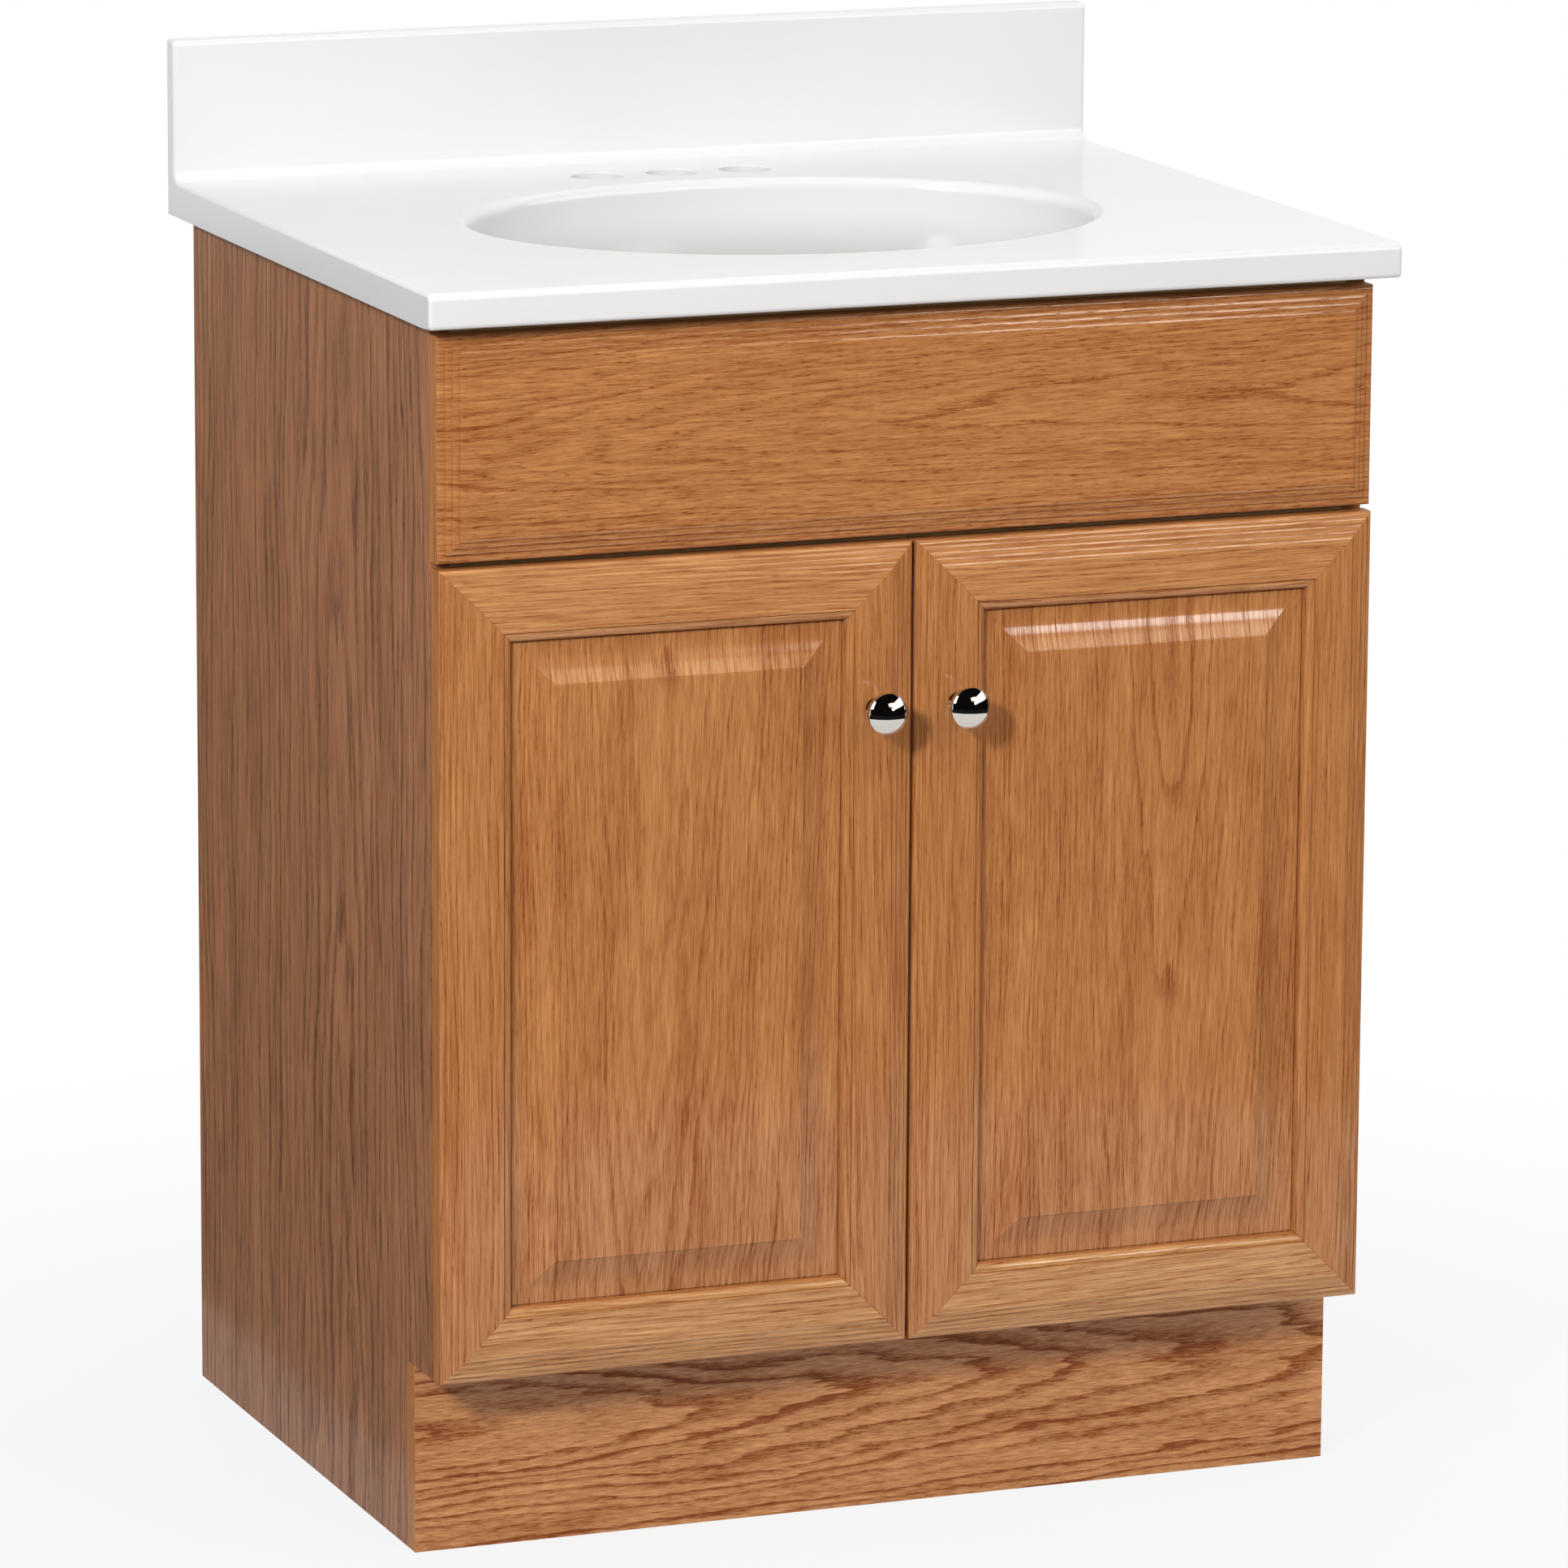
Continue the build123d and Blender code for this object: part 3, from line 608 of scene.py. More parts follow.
for side, inwards in INWARDS.items():
    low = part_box(f"{side}_door_bottom_rail")[0]
    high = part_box(f"{side}_door_top_rail")[1]
    outer_x, inner_x = (low.x, high.x) if side == "left" else (high.x, low.x)
    width, height = high.x - low.x, high.z - low.z
    members = {
        "hinge_stile": ((outer_x, low.z), (inwards, 0, 0), (0, 0, 1), height),
        "knob_stile": ((inner_x, low.z), (-inwards, 0, 0), (0, 0, 1), height),
        "top_rail": ((outer_x, high.z), (0, 0, -1), (inwards, 0, 0), width),
        "bottom_rail": ((outer_x, low.z), (0, 0, 1), (inwards, 0, 0), width),
    }
    for member, ((x, z), inset, along, length) in members.items():
        node = f"{side}_door_{member}"
        bm = frame_member(Vector((x, high.y, z)), inset, along, length)
        coats = edged(bm, oak_of[node])
        finish_piece(f"{node}_oak", bm, coats, f"{side}_door", node)

# %% [markdown]
# ## Raised panels and false front
#
# Both are slabs whose edge is worked all round by a cutter. A bevel would round the edge, but it can't
# draw a cove with a groove and a step. Insetting the front face step by step, with a rise at each step,
# follows the cutter round the slab and mitres the corners by itself.

# %% Raised panels
PANEL_MARGIN = 9.5 * MM
TONGUE_REACH = 4.6 * MM
TONGUE_THICKNESS = 6.5 * MM
# A fine groove starts just under the frame's bead, and keeps a dark line round the panel.
SHADOW_GROOVE = 0.8 * MM
GROOVE_COVER = 0.2 * MM
GROOVE_WALL = 0.3 * MM
GROOVE_FLOOR = 0.5 * MM
GROOVE_RAMP = 0.5 * MM
BEVEL_WIDTH = 17.5 * MM
BEVEL_RISE = 5.6 * MM
COVE_STEPS = 8
COVE_CURVE = 1.4
FIELD_STEP = 0.8 * MM
FIELD_LEAN = 0.05 * MM
FIELD_ROUND = 0.5 * MM
ROUND_SHARES = ((0.3, 0.7), (0.7, 0.3))


def stepped_slab(low, high, thickness, steps):
    """A slab of a thickness at its edge, whose front face rises inwards by (inset, rise) steps."""
    bm = bmesh.new()
    corners = ((low.x, low.z), (high.x, low.z), (high.x, high.z), (low.x, high.z))
    back = outline_face(bm, [(x, high.y, z) for x, z in corners])
    pull(bm, back, Vector((0, -thickness, 0)))
    bmesh.ops.recalc_face_normals(bm, faces=bm.faces)
    front = min(bm.faces, key=lambda face: face.calc_center_median().y)
    for inset, rise in steps:
        bmesh.ops.inset_region(bm, faces=[front], thickness=inset, depth=rise, use_even_offset=True)
    return bm


cove = [BEVEL_RISE * (i / COVE_STEPS) ** COVE_CURVE for i in range(COVE_STEPS + 1)]
panel_steps = [
    (TONGUE_REACH - GROOVE_COVER, 0.0),
    (GROOVE_WALL, -SHADOW_GROOVE),
    (GROOVE_FLOOR, 0.0),
    (GROOVE_RAMP, SHADOW_GROOVE),
    (PANEL_MARGIN + GROOVE_COVER - GROOVE_WALL - GROOVE_FLOOR - GROOVE_RAMP, 0.0),
    *[(BEVEL_WIDTH / COVE_STEPS, b - a) for a, b in zip(cove, cove[1:])],
    (FIELD_LEAN, FIELD_STEP - FIELD_ROUND),
    *[(inset * FIELD_ROUND, rise * FIELD_ROUND) for inset, rise in ROUND_SHARES],
]
for side in INWARDS:
    node = f"{side}_door_panel"
    low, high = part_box(node)
    bm = stepped_slab(low, high, TONGUE_THICKNESS, panel_steps)
    finish_piece(f"{node}_oak", bm, [oak_of[node]], f"{side}_door", node, mitred=True)

# %% False front
FALSE_REED_START = 5 * MM
FALSE_REED_WIDTH = 4 * MM
FALSE_REED_COUNT = 3

moulding = moulded_edge(FALSE_REED_START, FALSE_REED_WIDTH, FALSE_REED_COUNT)
moulding_steps = [(b[0] - a[0], b[1] - a[1]) for a, b in zip(moulding, moulding[1:])]
bm = stepped_slab(false_low, false_high, LIP_THICKNESS - EDGE_ROUND, moulding_steps)
coats = edged(bm, oak_of["false_front"])
finish_piece("false_front_oak", bm, coats, "cabinet", "false_front", mitred=True)

# %% [markdown]
# ## Linings and core
#
# The box is particle board, pressed from chips of wood and glue, with a printed paper on each face: oak
# outside and pale birch inside. A print could be a picture, but the function for oak draws it as well,
# with wider and paler rings. Bare chips show only where the board is cut.

# %% Linings
# Birch print is pale, even and dull, and its broad figure hardly shows.
lining = {
    place: stained_oak(
        f"printed birch lining {place}",
        pith=(100 * MM, 100 * MM, 300 * MM),
        trunk=trunk,
        ring=16 * MM,
        bend=40 * MM,
        light="#dcc9a6",
        dark="#b79b70",
        face=face,
        band=0.3,
        lacquer=0.1,
        spread=2.0,
    )
    for place, trunk, face in (
        ("sides", (0.03, 0.01, 1), SIDE_FACE),
        ("bottom", (1, 0.02, 0.03), LEVEL_FACE),
    )
}
print(len(lining), "linings")

# %% Core
# Pressed chips of wood and glue: pale flakes of many shades, dull all over.
CHIP = 2.6 * MM
PIT_DEPTH = 0.3 * MM

particle_board, tree, surface = start_material("pressed particle board", Roughness=0.85, IOR=1.45)
place = add_node(tree, "TexCoord").outputs["Object"]
chips = add_node(tree, "TexVoronoi", {"Vector": place, "Scale": 1 / CHIP}).outputs["Color"]
shade = add_node(tree, "SeparateXYZ", {0: chips}).outputs["X"]
flakes = add_node(
    tree, "Mix", {0: shade, 6: colour("#8f6c45"), 7: colour("#c6a578")}, data_type="RGBA"
).outputs[2]
tree.links.new(flakes, surface.inputs["Base Color"])
pits = add_node(tree, "Bump", {"Strength": 0.4, "Distance": PIT_DEPTH, "Height": shade}).outputs[0]
tree.links.new(pits, surface.inputs["Normal"])
print("chips of", CHIP / MM, "mm")

# %% [markdown]
# ## Side panels
#
# Each side is one board, notched at the bottom for the toe kick. The notch could be cut out of a box
# afterwards, but an outline pulled to the board's thickness has it from the start. Each face gets its
# material by the way it looks, which is quicker than gluing thin sheets on, and eased edges keep the
# board from looking like cut paper.

# %% Side panels
BOARD_EASE = 0.5 * MM
FACING = 0.7
LINED_FACE, CORE_FACE = 1, 2


def ease(bm):
    """Take the sharpness off every edge of a board."""
    bmesh.ops.bevel(
        bm, geom=bm.edges[:], offset=BOARD_EASE, segments=2, profile=0.5, affect="EDGES", material=-1
    )
    bmesh.ops.recalc_face_normals(bm, faces=bm.faces)


for side, inwards in INWARDS.items():
    node = f"{side}_side_panel"
    low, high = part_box(node)
    bm = bmesh.new()
    outline = [
        (low.y, toe_high.z),
        (low.y, high.z),
        (high.y, high.z),
        (high.y, 0),
        (toe_high.y, 0),
        (toe_high.y, toe_high.z),
    ]
    pull(bm, outline_face(bm, [(low.x, y, z) for y, z in outline]), Vector((high.x - low.x, 0, 0)))
    ease(bm)
    for face in bm.faces:
        if face.normal.x * inwards > FACING:
            face.material_index = LINED_FACE
        elif face.normal.y > FACING or abs(face.normal.z) > FACING:
            face.material_index = CORE_FACE
    coats = [oak_of[node], lining["sides"], particle_board]
    finish_piece(f"{node}_board", bm, coats, "cabinet", node)

# %% [markdown]
# ## Bottom and toe kick
#
# The bottom is a lined board that stands in grooves in the sides, and the toe kick is a board of oak
# across their notches. A stretched cube is enough for either, because they are plain boards: the same
# easing of the edges that the sides have makes them look sawn and sanded.

# %% Bottom and toe kick
# The bottom stops this far short of the edges of the sides, in whose grooves it stands.
SET_BACK = 0.4 * MM


def board(low, high):
    """A board with eased edges between two corners."""
    bm = bmesh.new()
    spot = Matrix.Translation((low + high) / 2) @ Matrix.Diagonal((*(high - low), 1))
    bmesh.ops.create_cube(bm, size=1, matrix=spot)
    ease(bm)
    return bm


low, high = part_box("bottom_panel")
short = Vector((0, SET_BACK, 0))
bm = board(low + short, high - short)
finish_piece("bottom_panel_board", bm, [lining["bottom"]], "cabinet", "bottom_panel")
bm = board(toe_low, toe_high)
for face in bm.faces:
    if abs(face.normal.x) > FACING:
        face.material_index = 1
coats = [oak_of["toe_kick"], edging["upright"]]
finish_piece("toe_kick_board", bm, coats, "cabinet", "toe_kick")

# %% [markdown]
# ## White gel coat
#
# The top is cast in a polished mould that is first sprayed with gel coat, a thin layer of white resin
# that comes out as glossy as the mould. A plain white would do from afar. Faint clouds keep it from
# looking like moulded plastic, and painted shade turns the white grey down the bowl.

# %% White gel coat
# Resin from a polished mould: white with hardly visible clouds, and a clear, nearly sharp gloss.
DECK_THICKNESS = 22 * MM
CLOUD = 90 * MM
# Painted shade: between these two depths below the deck, the white of the bowl is painted darker.
PAINTED_SHADE_FROM = 16 * MM
PAINTED_SHADE_FULL = 62 * MM

deck_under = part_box("left_side_panel")[1].z
deck_top = deck_under + DECK_THICKNESS
gel_coat_and_painted_shade, tree, surface = start_material("white gel coat with painted bowl shade", Roughness=0.14, IOR=1.52)
place = add_node(tree, "TexCoord").outputs["Object"]
clouds = add_node(tree, "TexNoise", {"Vector": place, "Scale": 1 / CLOUD, "Detail": 3.0}).outputs["Fac"]
white = add_node(
    tree, "Mix", {0: clouds, 6: colour("#dededf"), 7: colour("#e3e3e4")}, data_type="RGBA"
).outputs[2]
# Painted shade: the colour turns from white to grey with the depth below the deck, darkest deep in the
# bowl.
level = add_node(tree, "SeparateXYZ", {0: place}).outputs["Z"]
unshaded = add_node(
    tree,
    "MapRange",
    {"Value": level, "From Min": deck_top - PAINTED_SHADE_FULL, "From Max": deck_top - PAINTED_SHADE_FROM},
    interpolation_type="SMOOTHSTEP",
).outputs[0]
white_and_painted_shade = add_node(tree, "Mix", {0: unshaded, 6: colour("#b9b8b6"), 7: white}, data_type="RGBA").outputs[2]
tree.links.new(white_and_painted_shade, surface.inputs["Base Color"])
print("deck top at", round(deck_top / MM, 1), "mm")

# %% [markdown]
# ## Raw casting
#
# The underside of the top is the open side of the mould: stone dust in resin, levelled and never
# polished. It could share the gel coat, since it hardly shows, but from below it would look wet. Patches
# of noise at the size of its specks colour it and give it a little relief, and the same function serves
# the plated metals and the resin further on.

# %% Raw casting
# Stone dust in resin, left as it sets: dull, with fine pale specks.
SPECK = 1.5 * MM
DENT_DEPTH = 0.3 * MM


def mottled(name, size, low, high, detail=2.0, relief=0.0, **sockets):
    """A material with patches of a real size between two colours, and with their relief if any."""
    material, tree, surface = start_material(name, **sockets)
    place = add_node(tree, "TexCoord").outputs["Object"]
    noise = {"Vector": place, "Scale": 1 / size, "Detail": detail}
    spots = add_node(tree, "TexNoise", noise).outputs["Fac"]
    shades = {0: spots, 6: colour(low), 7: colour(high)}
    blend = add_node(tree, "Mix", shades, data_type="RGBA").outputs[2]
    tree.links.new(blend, surface.inputs["Base Color"])
    if relief:
        dents = {"Strength": 0.4, "Distance": relief, "Height": spots}
        bump = add_node(tree, "Bump", dents).outputs[0]
        tree.links.new(bump, surface.inputs["Normal"])
    print(name, "in patches of", round(size / MM, 1), "mm")
    return material


raw_casting = mottled(
    "raw stone casting", SPECK, "#b5b0a6", "#d2cec6", detail=4.0, relief=DENT_DEPTH, Roughness=0.8, IOR=1.5
)

# %% [markdown]
# ## Cast basin top
#
# Deck, bowl and splashback are one casting. A box with holes cut by booleans would leave ragged edges
# round the bowl, so each part is drawn clean: the deck and the splashback are one section pulled
# sideways, the bowl is an outline spun into a round and squeezed to an oval, and the flat of the deck is
# filled between them and the faucet holes.

# %% Spun outlines
BOWL_FULLNESS = 0.62
BOWL_POINTS = 24


def spun(bm, outline, middle, steps):
    """Spin an outline of (radius, height) points round a vertical line through the middle."""
    verts = [bm.verts.new(middle + Vector((r, 0, z))) for r, z in outline]
    edges = [bm.edges.new(pair) for pair in zip(verts, verts[1:])]
    bmesh.ops.spin(
        bm,
        geom=[*verts, *edges],
        cent=middle,
        axis=(0, 0, 1),
        angle=2 * pi,
        steps=steps,
        use_merge=True,
    )


def bowl_side(foot, head):
    """A full, round side that leaves the bottom level and reaches the rim upright."""
    reach, climb = BOWL_FULLNESS * (head[0] - foot[0]), BOWL_FULLNESS * (head[1] - foot[1])
    knots = (foot, (foot[0] + reach, foot[1]), (head[0], head[1] - climb), head)
    return [(p.x, p.y) for p in interpolate_bezier(*[Vector((*k, 0)) for k in knots], BOWL_POINTS)]


print("a bowl's side has", BOWL_POINTS, "points")

# %% Outlines of the bowl and the faucet holes
BOWL_HALF_WIDTH = 207 * MM
BOWL_DEPTH = 140 * MM
BOWL_FLAT = 38 * MM
BOWL_WALL = 11 * MM
RIM_ROUND = 8 * MM
DRAIN_RADIUS = 22.25 * MM
DRAIN_EASE = 1 * MM
BOSS_RADIUS = 36 * MM
BOSS_HEIGHT = 6 * MM
FAUCET_RADIUS = 16.5 * MM
FAUCET_ROUND = 1 * MM

rim_x = BOWL_HALF_WIDTH - RIM_ROUND
shell_low = -BOWL_DEPTH - BOWL_WALL
bowl_outline = [
    *reversed(arc((BOWL_HALF_WIDTH, -RIM_ROUND), RIM_ROUND, 180, 90, steps=8)),
    *reversed(bowl_side((BOWL_FLAT, -BOWL_DEPTH), (rim_x, -RIM_ROUND))[:-1]),
    (DRAIN_RADIUS + DRAIN_EASE, -BOWL_DEPTH),
    (DRAIN_RADIUS, -BOWL_DEPTH - DRAIN_EASE),
    (DRAIN_RADIUS, shell_low - BOSS_HEIGHT),
    (BOSS_RADIUS, shell_low - BOSS_HEIGHT),
    (BOSS_RADIUS, shell_low),
    *bowl_side((BOWL_FLAT + BOWL_WALL / 2, shell_low), (rim_x + BOWL_WALL, -DECK_THICKNESS)),
]
hole_outline = [
    *reversed(arc((FAUCET_RADIUS + FAUCET_ROUND, -FAUCET_ROUND), FAUCET_ROUND, 180, 90, steps=4)),
    (FAUCET_RADIUS, -DECK_THICKNESS),
]
print("bowl outline of", len(bowl_outline), "points")

# %% Deck and splashback
SPLASH_THICKNESS = 12.5 * MM
COVE = 8 * MM
DECK_ROUND = 5 * MM
UNDER_ROUND = 3 * MM
SPLASH_ROUND = 4 * MM
END_ROUND = 2.5 * MM
HIDDEN = 0.1 * MM

top_low, top_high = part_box("vanity_top")
splash_front = top_high.y - SPLASH_THICKNESS
section = [
    *arc((top_low.y + UNDER_ROUND, deck_under + UNDER_ROUND), UNDER_ROUND, 270, 180, steps=5),
    *arc((top_low.y + DECK_ROUND, deck_top - DECK_ROUND), DECK_ROUND, 180, 90, steps=8),
    *arc((splash_front - COVE, deck_top + COVE), COVE, 270, 360, steps=8),
    *arc((splash_front + SPLASH_ROUND, top_high.z - SPLASH_ROUND), SPLASH_ROUND, 180, 90, steps=6),
    (top_high.y, top_high.z),
    (top_high.y, deck_under),
]
bm = bmesh.new()
end = outline_face(bm, [(top_low.x, y, z) for y, z in section])
pull(bm, end, Vector((top_high.x - top_low.x, 0, 0)))
bmesh.ops.recalc_face_normals(bm, faces=bm.faces)
# The edges of both ends are rounded, except along the back and underneath.
shown = [
    e
    for e in bm.edges
    if any(abs(f.normal.x) > STEEP for f in e.link_faces)
    and not all(v.co.y > top_high.y - HIDDEN for v in e.verts)
    and not all(v.co.z < deck_under + HIDDEN for v in e.verts)
]
bmesh.ops.bevel(
    bm, geom=shown, offset=END_ROUND, segments=4, profile=0.5, affect="EDGES", material=-1
)
print("section of", len(section), "points, with", len(shown), "edges rounded")

# %% Bowl and faucet holes
BOWL_HALF_DEPTH = 165 * MM
BOWL_FROM_BACK = 271 * MM
BOWL_STEPS = 160
FAUCET_SPACING = 50.8 * MM
FAUCET_FROM_BACK = 73 * MM
HOLE_STEPS = 48
LEVEL_SLACK = 0.01 * MM
FINE_MERGE = 0.001 * MM

levels = (deck_top, deck_under)
flats = []
for z in levels:
    level_faces = [f for f in bm.faces if abs(f.calc_center_median().z - z) < LEVEL_SLACK]
    flats.append(max(level_faces, key=lambda face: face.calc_area()))
bmesh.ops.delete(bm, geom=flats, context="FACES_ONLY")
before = set(bm.verts)
bowl_middle = Vector((0, top_high.y - BOWL_FROM_BACK, deck_top))
spun(bm, bowl_outline, bowl_middle, BOWL_STEPS)
squeeze = Matrix.Diagonal((1, BOWL_HALF_DEPTH / BOWL_HALF_WIDTH, 1, 1))
bmesh.ops.transform(
    bm,
    matrix=Matrix.Translation(bowl_middle) @ squeeze @ Matrix.Translation(-bowl_middle),
    verts=[v for v in bm.verts if v not in before],
)
for x in (-FAUCET_SPACING, 0, FAUCET_SPACING):
    spun(bm, hole_outline, Vector((x, top_high.y - FAUCET_FROM_BACK, deck_top)), HOLE_STEPS)
bmesh.ops.remove_doubles(bm, verts=bm.verts, dist=FINE_MERGE)
for z in levels:
    open_edges = [
        e for e in bm.edges if e.is_boundary and all(abs(v.co.z - z) < LEVEL_SLACK for v in e.verts)
    ]
    bmesh.ops.triangle_fill(bm, edges=open_edges, use_beauty=True, use_dissolve=False)
bmesh.ops.recalc_face_normals(bm, faces=bm.faces)
for face in bm.faces:
    center = face.calc_center_median()
    if center.z < deck_under + HIDDEN and face.normal.dot(center - bowl_middle) > 0:
        face.material_index = 1
coats = [gel_coat_and_painted_shade, raw_casting]
cast_top = finish_piece("vanity_top_cast", bm, coats, "cabinet", "vanity_top")

# %% [markdown]
# ## Knobs
#
# The knobs are turned, polished and nickel plated: a shallow dome with a crisp rim on a flared neck. A
# squashed sphere would be a knob too, but it has no rim and its reflections are wrong. A profile spun
# about the knob's own axis is the same turning.

# %% Polished nickel
# A mirror with a warm tint, and a faint haze from the buffing wheel.
HAZE = 4 * MM

polished_nickel = mottled("polished nickel", HAZE, "#cdc8c0", "#d5d1ca", Metallic=1.0, Roughness=0.05)

# %% Knobs
KNOB_RADIUS = 12.8 * MM
KNOB_RIM_ROUND = 0.5 * MM
KNOB_RIM_TILT = 50
KNOB_RIM_BACK = -60
KNOB_NECK = 4.8 * MM
KNOB_NECK_LENGTH = 9 * MM
KNOB_FULLNESS = 0.55
KNOB_BASE = 6.5 * MM
KNOB_BASE_HEIGHT = 1.6 * MM
FLARE_POINTS = 12
KNOB_STEPS = 64


def knob_outline(height):
    """A knob's profile as (radius, height) points, from its base to the top of its dome."""
    rim_x = KNOB_RADIUS - KNOB_RIM_ROUND
    rim_front = 90 - KNOB_RIM_TILT
    dome_radius = rim_x / sin(radians(KNOB_RIM_TILT)) + KNOB_RIM_ROUND
    dome_middle = height - dome_radius
    rim_height = dome_middle + (dome_radius - KNOB_RIM_ROUND) * cos(radians(KNOB_RIM_TILT))
    rim = arc((rim_x, rim_height), KNOB_RIM_ROUND, KNOB_RIM_BACK, rim_front, steps=8)
    neck_top = Vector((KNOB_NECK, KNOB_NECK_LENGTH, 0))
    rim_back = Vector((*rim[0], 0))
    flare = interpolate_bezier(
        neck_top,
        neck_top + Vector((KNOB_FULLNESS * (rim_back.x - neck_top.x), 0, 0)),
        rim_back - Vector((0, KNOB_FULLNESS * (rim_back.y - neck_top.y), 0)),
        rim_back,
        FLARE_POINTS,
    )
    return [
        (0, 0),
        (KNOB_BASE, 0),
        (KNOB_BASE, KNOB_BASE_HEIGHT),
        (KNOB_NECK, 2 * KNOB_BASE_HEIGHT),
        *[(point.x, point.y) for point in flare[:-1]],
        *rim,
        *arc((0, dome_middle), dome_radius, rim_front, 90, steps=16)[1:],
    ]


for side in INWARDS:
    node = f"{side}_knob"
    low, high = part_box(node)
    bm = bmesh.new()
    spun(bm, knob_outline(high.y - low.y), Vector((0, 0, 0)), KNOB_STEPS)
    foot = Vector(((low.x + high.x) / 2, high.y, (low.z + high.z) / 2))
    bmesh.ops.transform(
        bm, matrix=Matrix.Translation(foot) @ Matrix.Rotation(pi / 2, 4, "X"), verts=bm.verts
    )
    finish_piece(f"{node}_polished", bm, [polished_nickel], f"{side}_door", node)

# %% [markdown]
# ## Screws
#
# Each screw has a round head with a cross for the driver. A real thread would be lost in the wood, so the
# body is a plain outline spun about its axis. The cross is drawn on the head as a face with twelve
# corners, and a face pushed down makes the pocket, which is cleaner than a boolean cut. One function
# makes a screw of any size, and the places come from the solids in the frame.

# %% Bright zinc
# Zinc plating is a thin bright layer with a faint blue cast and a fine crystal bloom.
BLOOM = 1.2 * MM

zinc = mottled(
    "bright zinc plate", BLOOM, "#aeb1b5", "#d3d5d8", detail=3.0, Metallic=1.0, Roughness=0.3
)

# %% One screw
# Shares of the head's radius, and then shares of its rise and of half the cross's width.
HEAD_RISE = 0.48
HEAD_FLAT = 0.7
HEAD_EDGE = 0.92
SHANK = 0.5
CROSS_ARM = 0.55
CROSS_HALF = 0.11
EDGE_FOOT = 0.3
EDGE_TOP = 0.75
CROSS_DEPTH = 0.7
CROSS_TAPER = 0.25
SCREW_STEPS = 24


def screw(bm, seat, out, radius, length):
    """A screw whose head stands on a seat and looks outwards, with its shank the other way."""
    before = set(bm.verts)
    rise, shank = HEAD_RISE * radius, SHANK * radius
    outline = [
        (0, -length),
        (shank, 2 * shank - length),
        (shank, 0),
        (radius, 0),
        (radius, EDGE_FOOT * rise),
        (HEAD_EDGE * radius, EDGE_TOP * rise),
        (HEAD_FLAT * radius, rise),
    ]
    spun(bm, outline, Vector((0, 0, 0)), SCREW_STEPS)
    bmesh.ops.remove_doubles(bm, verts=[v for v in bm.verts if v not in before], dist=FINE_MERGE)
    ring = [e for e in bm.edges if e.is_boundary and not before.intersection(e.verts)]
    arm, half = CROSS_ARM * radius, CROSS_HALF * radius
    corners = ((arm, -half), (arm, half), (half, half))
    points = [Matrix.Rotation(turn * pi / 2, 2) @ Vector(c) for turn in range(4) for c in corners]
    cross = outline_face(bm, [(x, y, rise) for x, y in points])
    bmesh.ops.triangle_fill(bm, edges=[*ring, *cross.edges], use_beauty=True, use_dissolve=False)
    bmesh.ops.recalc_face_normals(bm, faces=[cross])
    down = -CROSS_DEPTH * rise if cross.normal.z > 0 else CROSS_DEPTH * rise
    bmesh.ops.inset_region(
        bm, faces=[cross], thickness=CROSS_TAPER * half, depth=down, use_even_offset=True
    )
    aim = Matrix.Translation(seat) @ out.to_track_quat("Z", "X").to_matrix().to_4x4()
    bmesh.ops.transform(bm, matrix=aim, verts=[v for v in bm.verts if v not in before])


print("a head rises", HEAD_RISE, "of its radius")


# %% Screws in their places
def solids(node):
    """The lowest and highest corner of every separate solid in a node."""
    bm = bmesh.new()
    bm.from_mesh(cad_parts[node].data)
    bmesh.ops.remove_doubles(bm, verts=bm.verts, dist=FINE_MERGE)
    boxes = []
    seen = set()
    for first in bm.verts:
        if first in seen:
            continue
        seen.add(first)
        island = [first]
        # The island grows while it is walked through.
        for vert in island:
            for other in [e.other_vert(vert) for e in vert.link_edges]:
                if other not in seen:
                    seen.add(other)
                    island.append(other)
        boxes.append([Vector([pick(v.co[i] for v in island) for i in range(3)]) for pick in (min, max)])
    bm.free()
    return boxes


def screws(node, body, out):
    """Replace a node of screws by screws of the same sizes whose heads look outwards."""
    bm = bmesh.new()
    out = Vector(out)
    for low, high in solids(node):
        middle, size = (low + high) / 2, high - low
        length = abs(size.dot(out))
        radius = (sum(size) - length) / 4
        rise = HEAD_RISE * radius
        screw(bm, middle + out * (length / 2 - rise), out, radius, length - rise)
    finish_piece(f"{node}_driven", bm, [zinc], body, node)


for side, inwards in INWARDS.items():
    screws(f"{side}_hinge_plate_screws", "cabinet", (inwards, 0, 0))
    screws(f"{side}_hinge_arm_screws", "cabinet", (inwards, 0, 0))
    screws(f"{side}_hinge_cup_screws", f"{side}_door", (0, 1, 0))
    screws(f"{side}_knob_screw", f"{side}_door", (0, 1, 0))
screws("false_front_screws", "cabinet", (0, 1, 0))

# %% [markdown]
# ## Finishes inside the box
#
# The hinges are pressed from sheet steel and nickel plated, the bumpers are drops of clear soft resin,
# the rails and blocks are sanded poplar, and the dowels are turned beech. Plain greys and browns would
# pass in the shade, but with the doors open these pieces stand in the light. Each finish is a pattern at
# the size that its making leaves: rolling lines, milk in the resin, growth rings.

# %% Hinge steel
# Rolled sheet under a thin plate: grey, with fine lines that differ in colour and gloss.
ROLLING_LENGTH = 20 * MM
ROLLING_WIDTH = 0.4 * MM

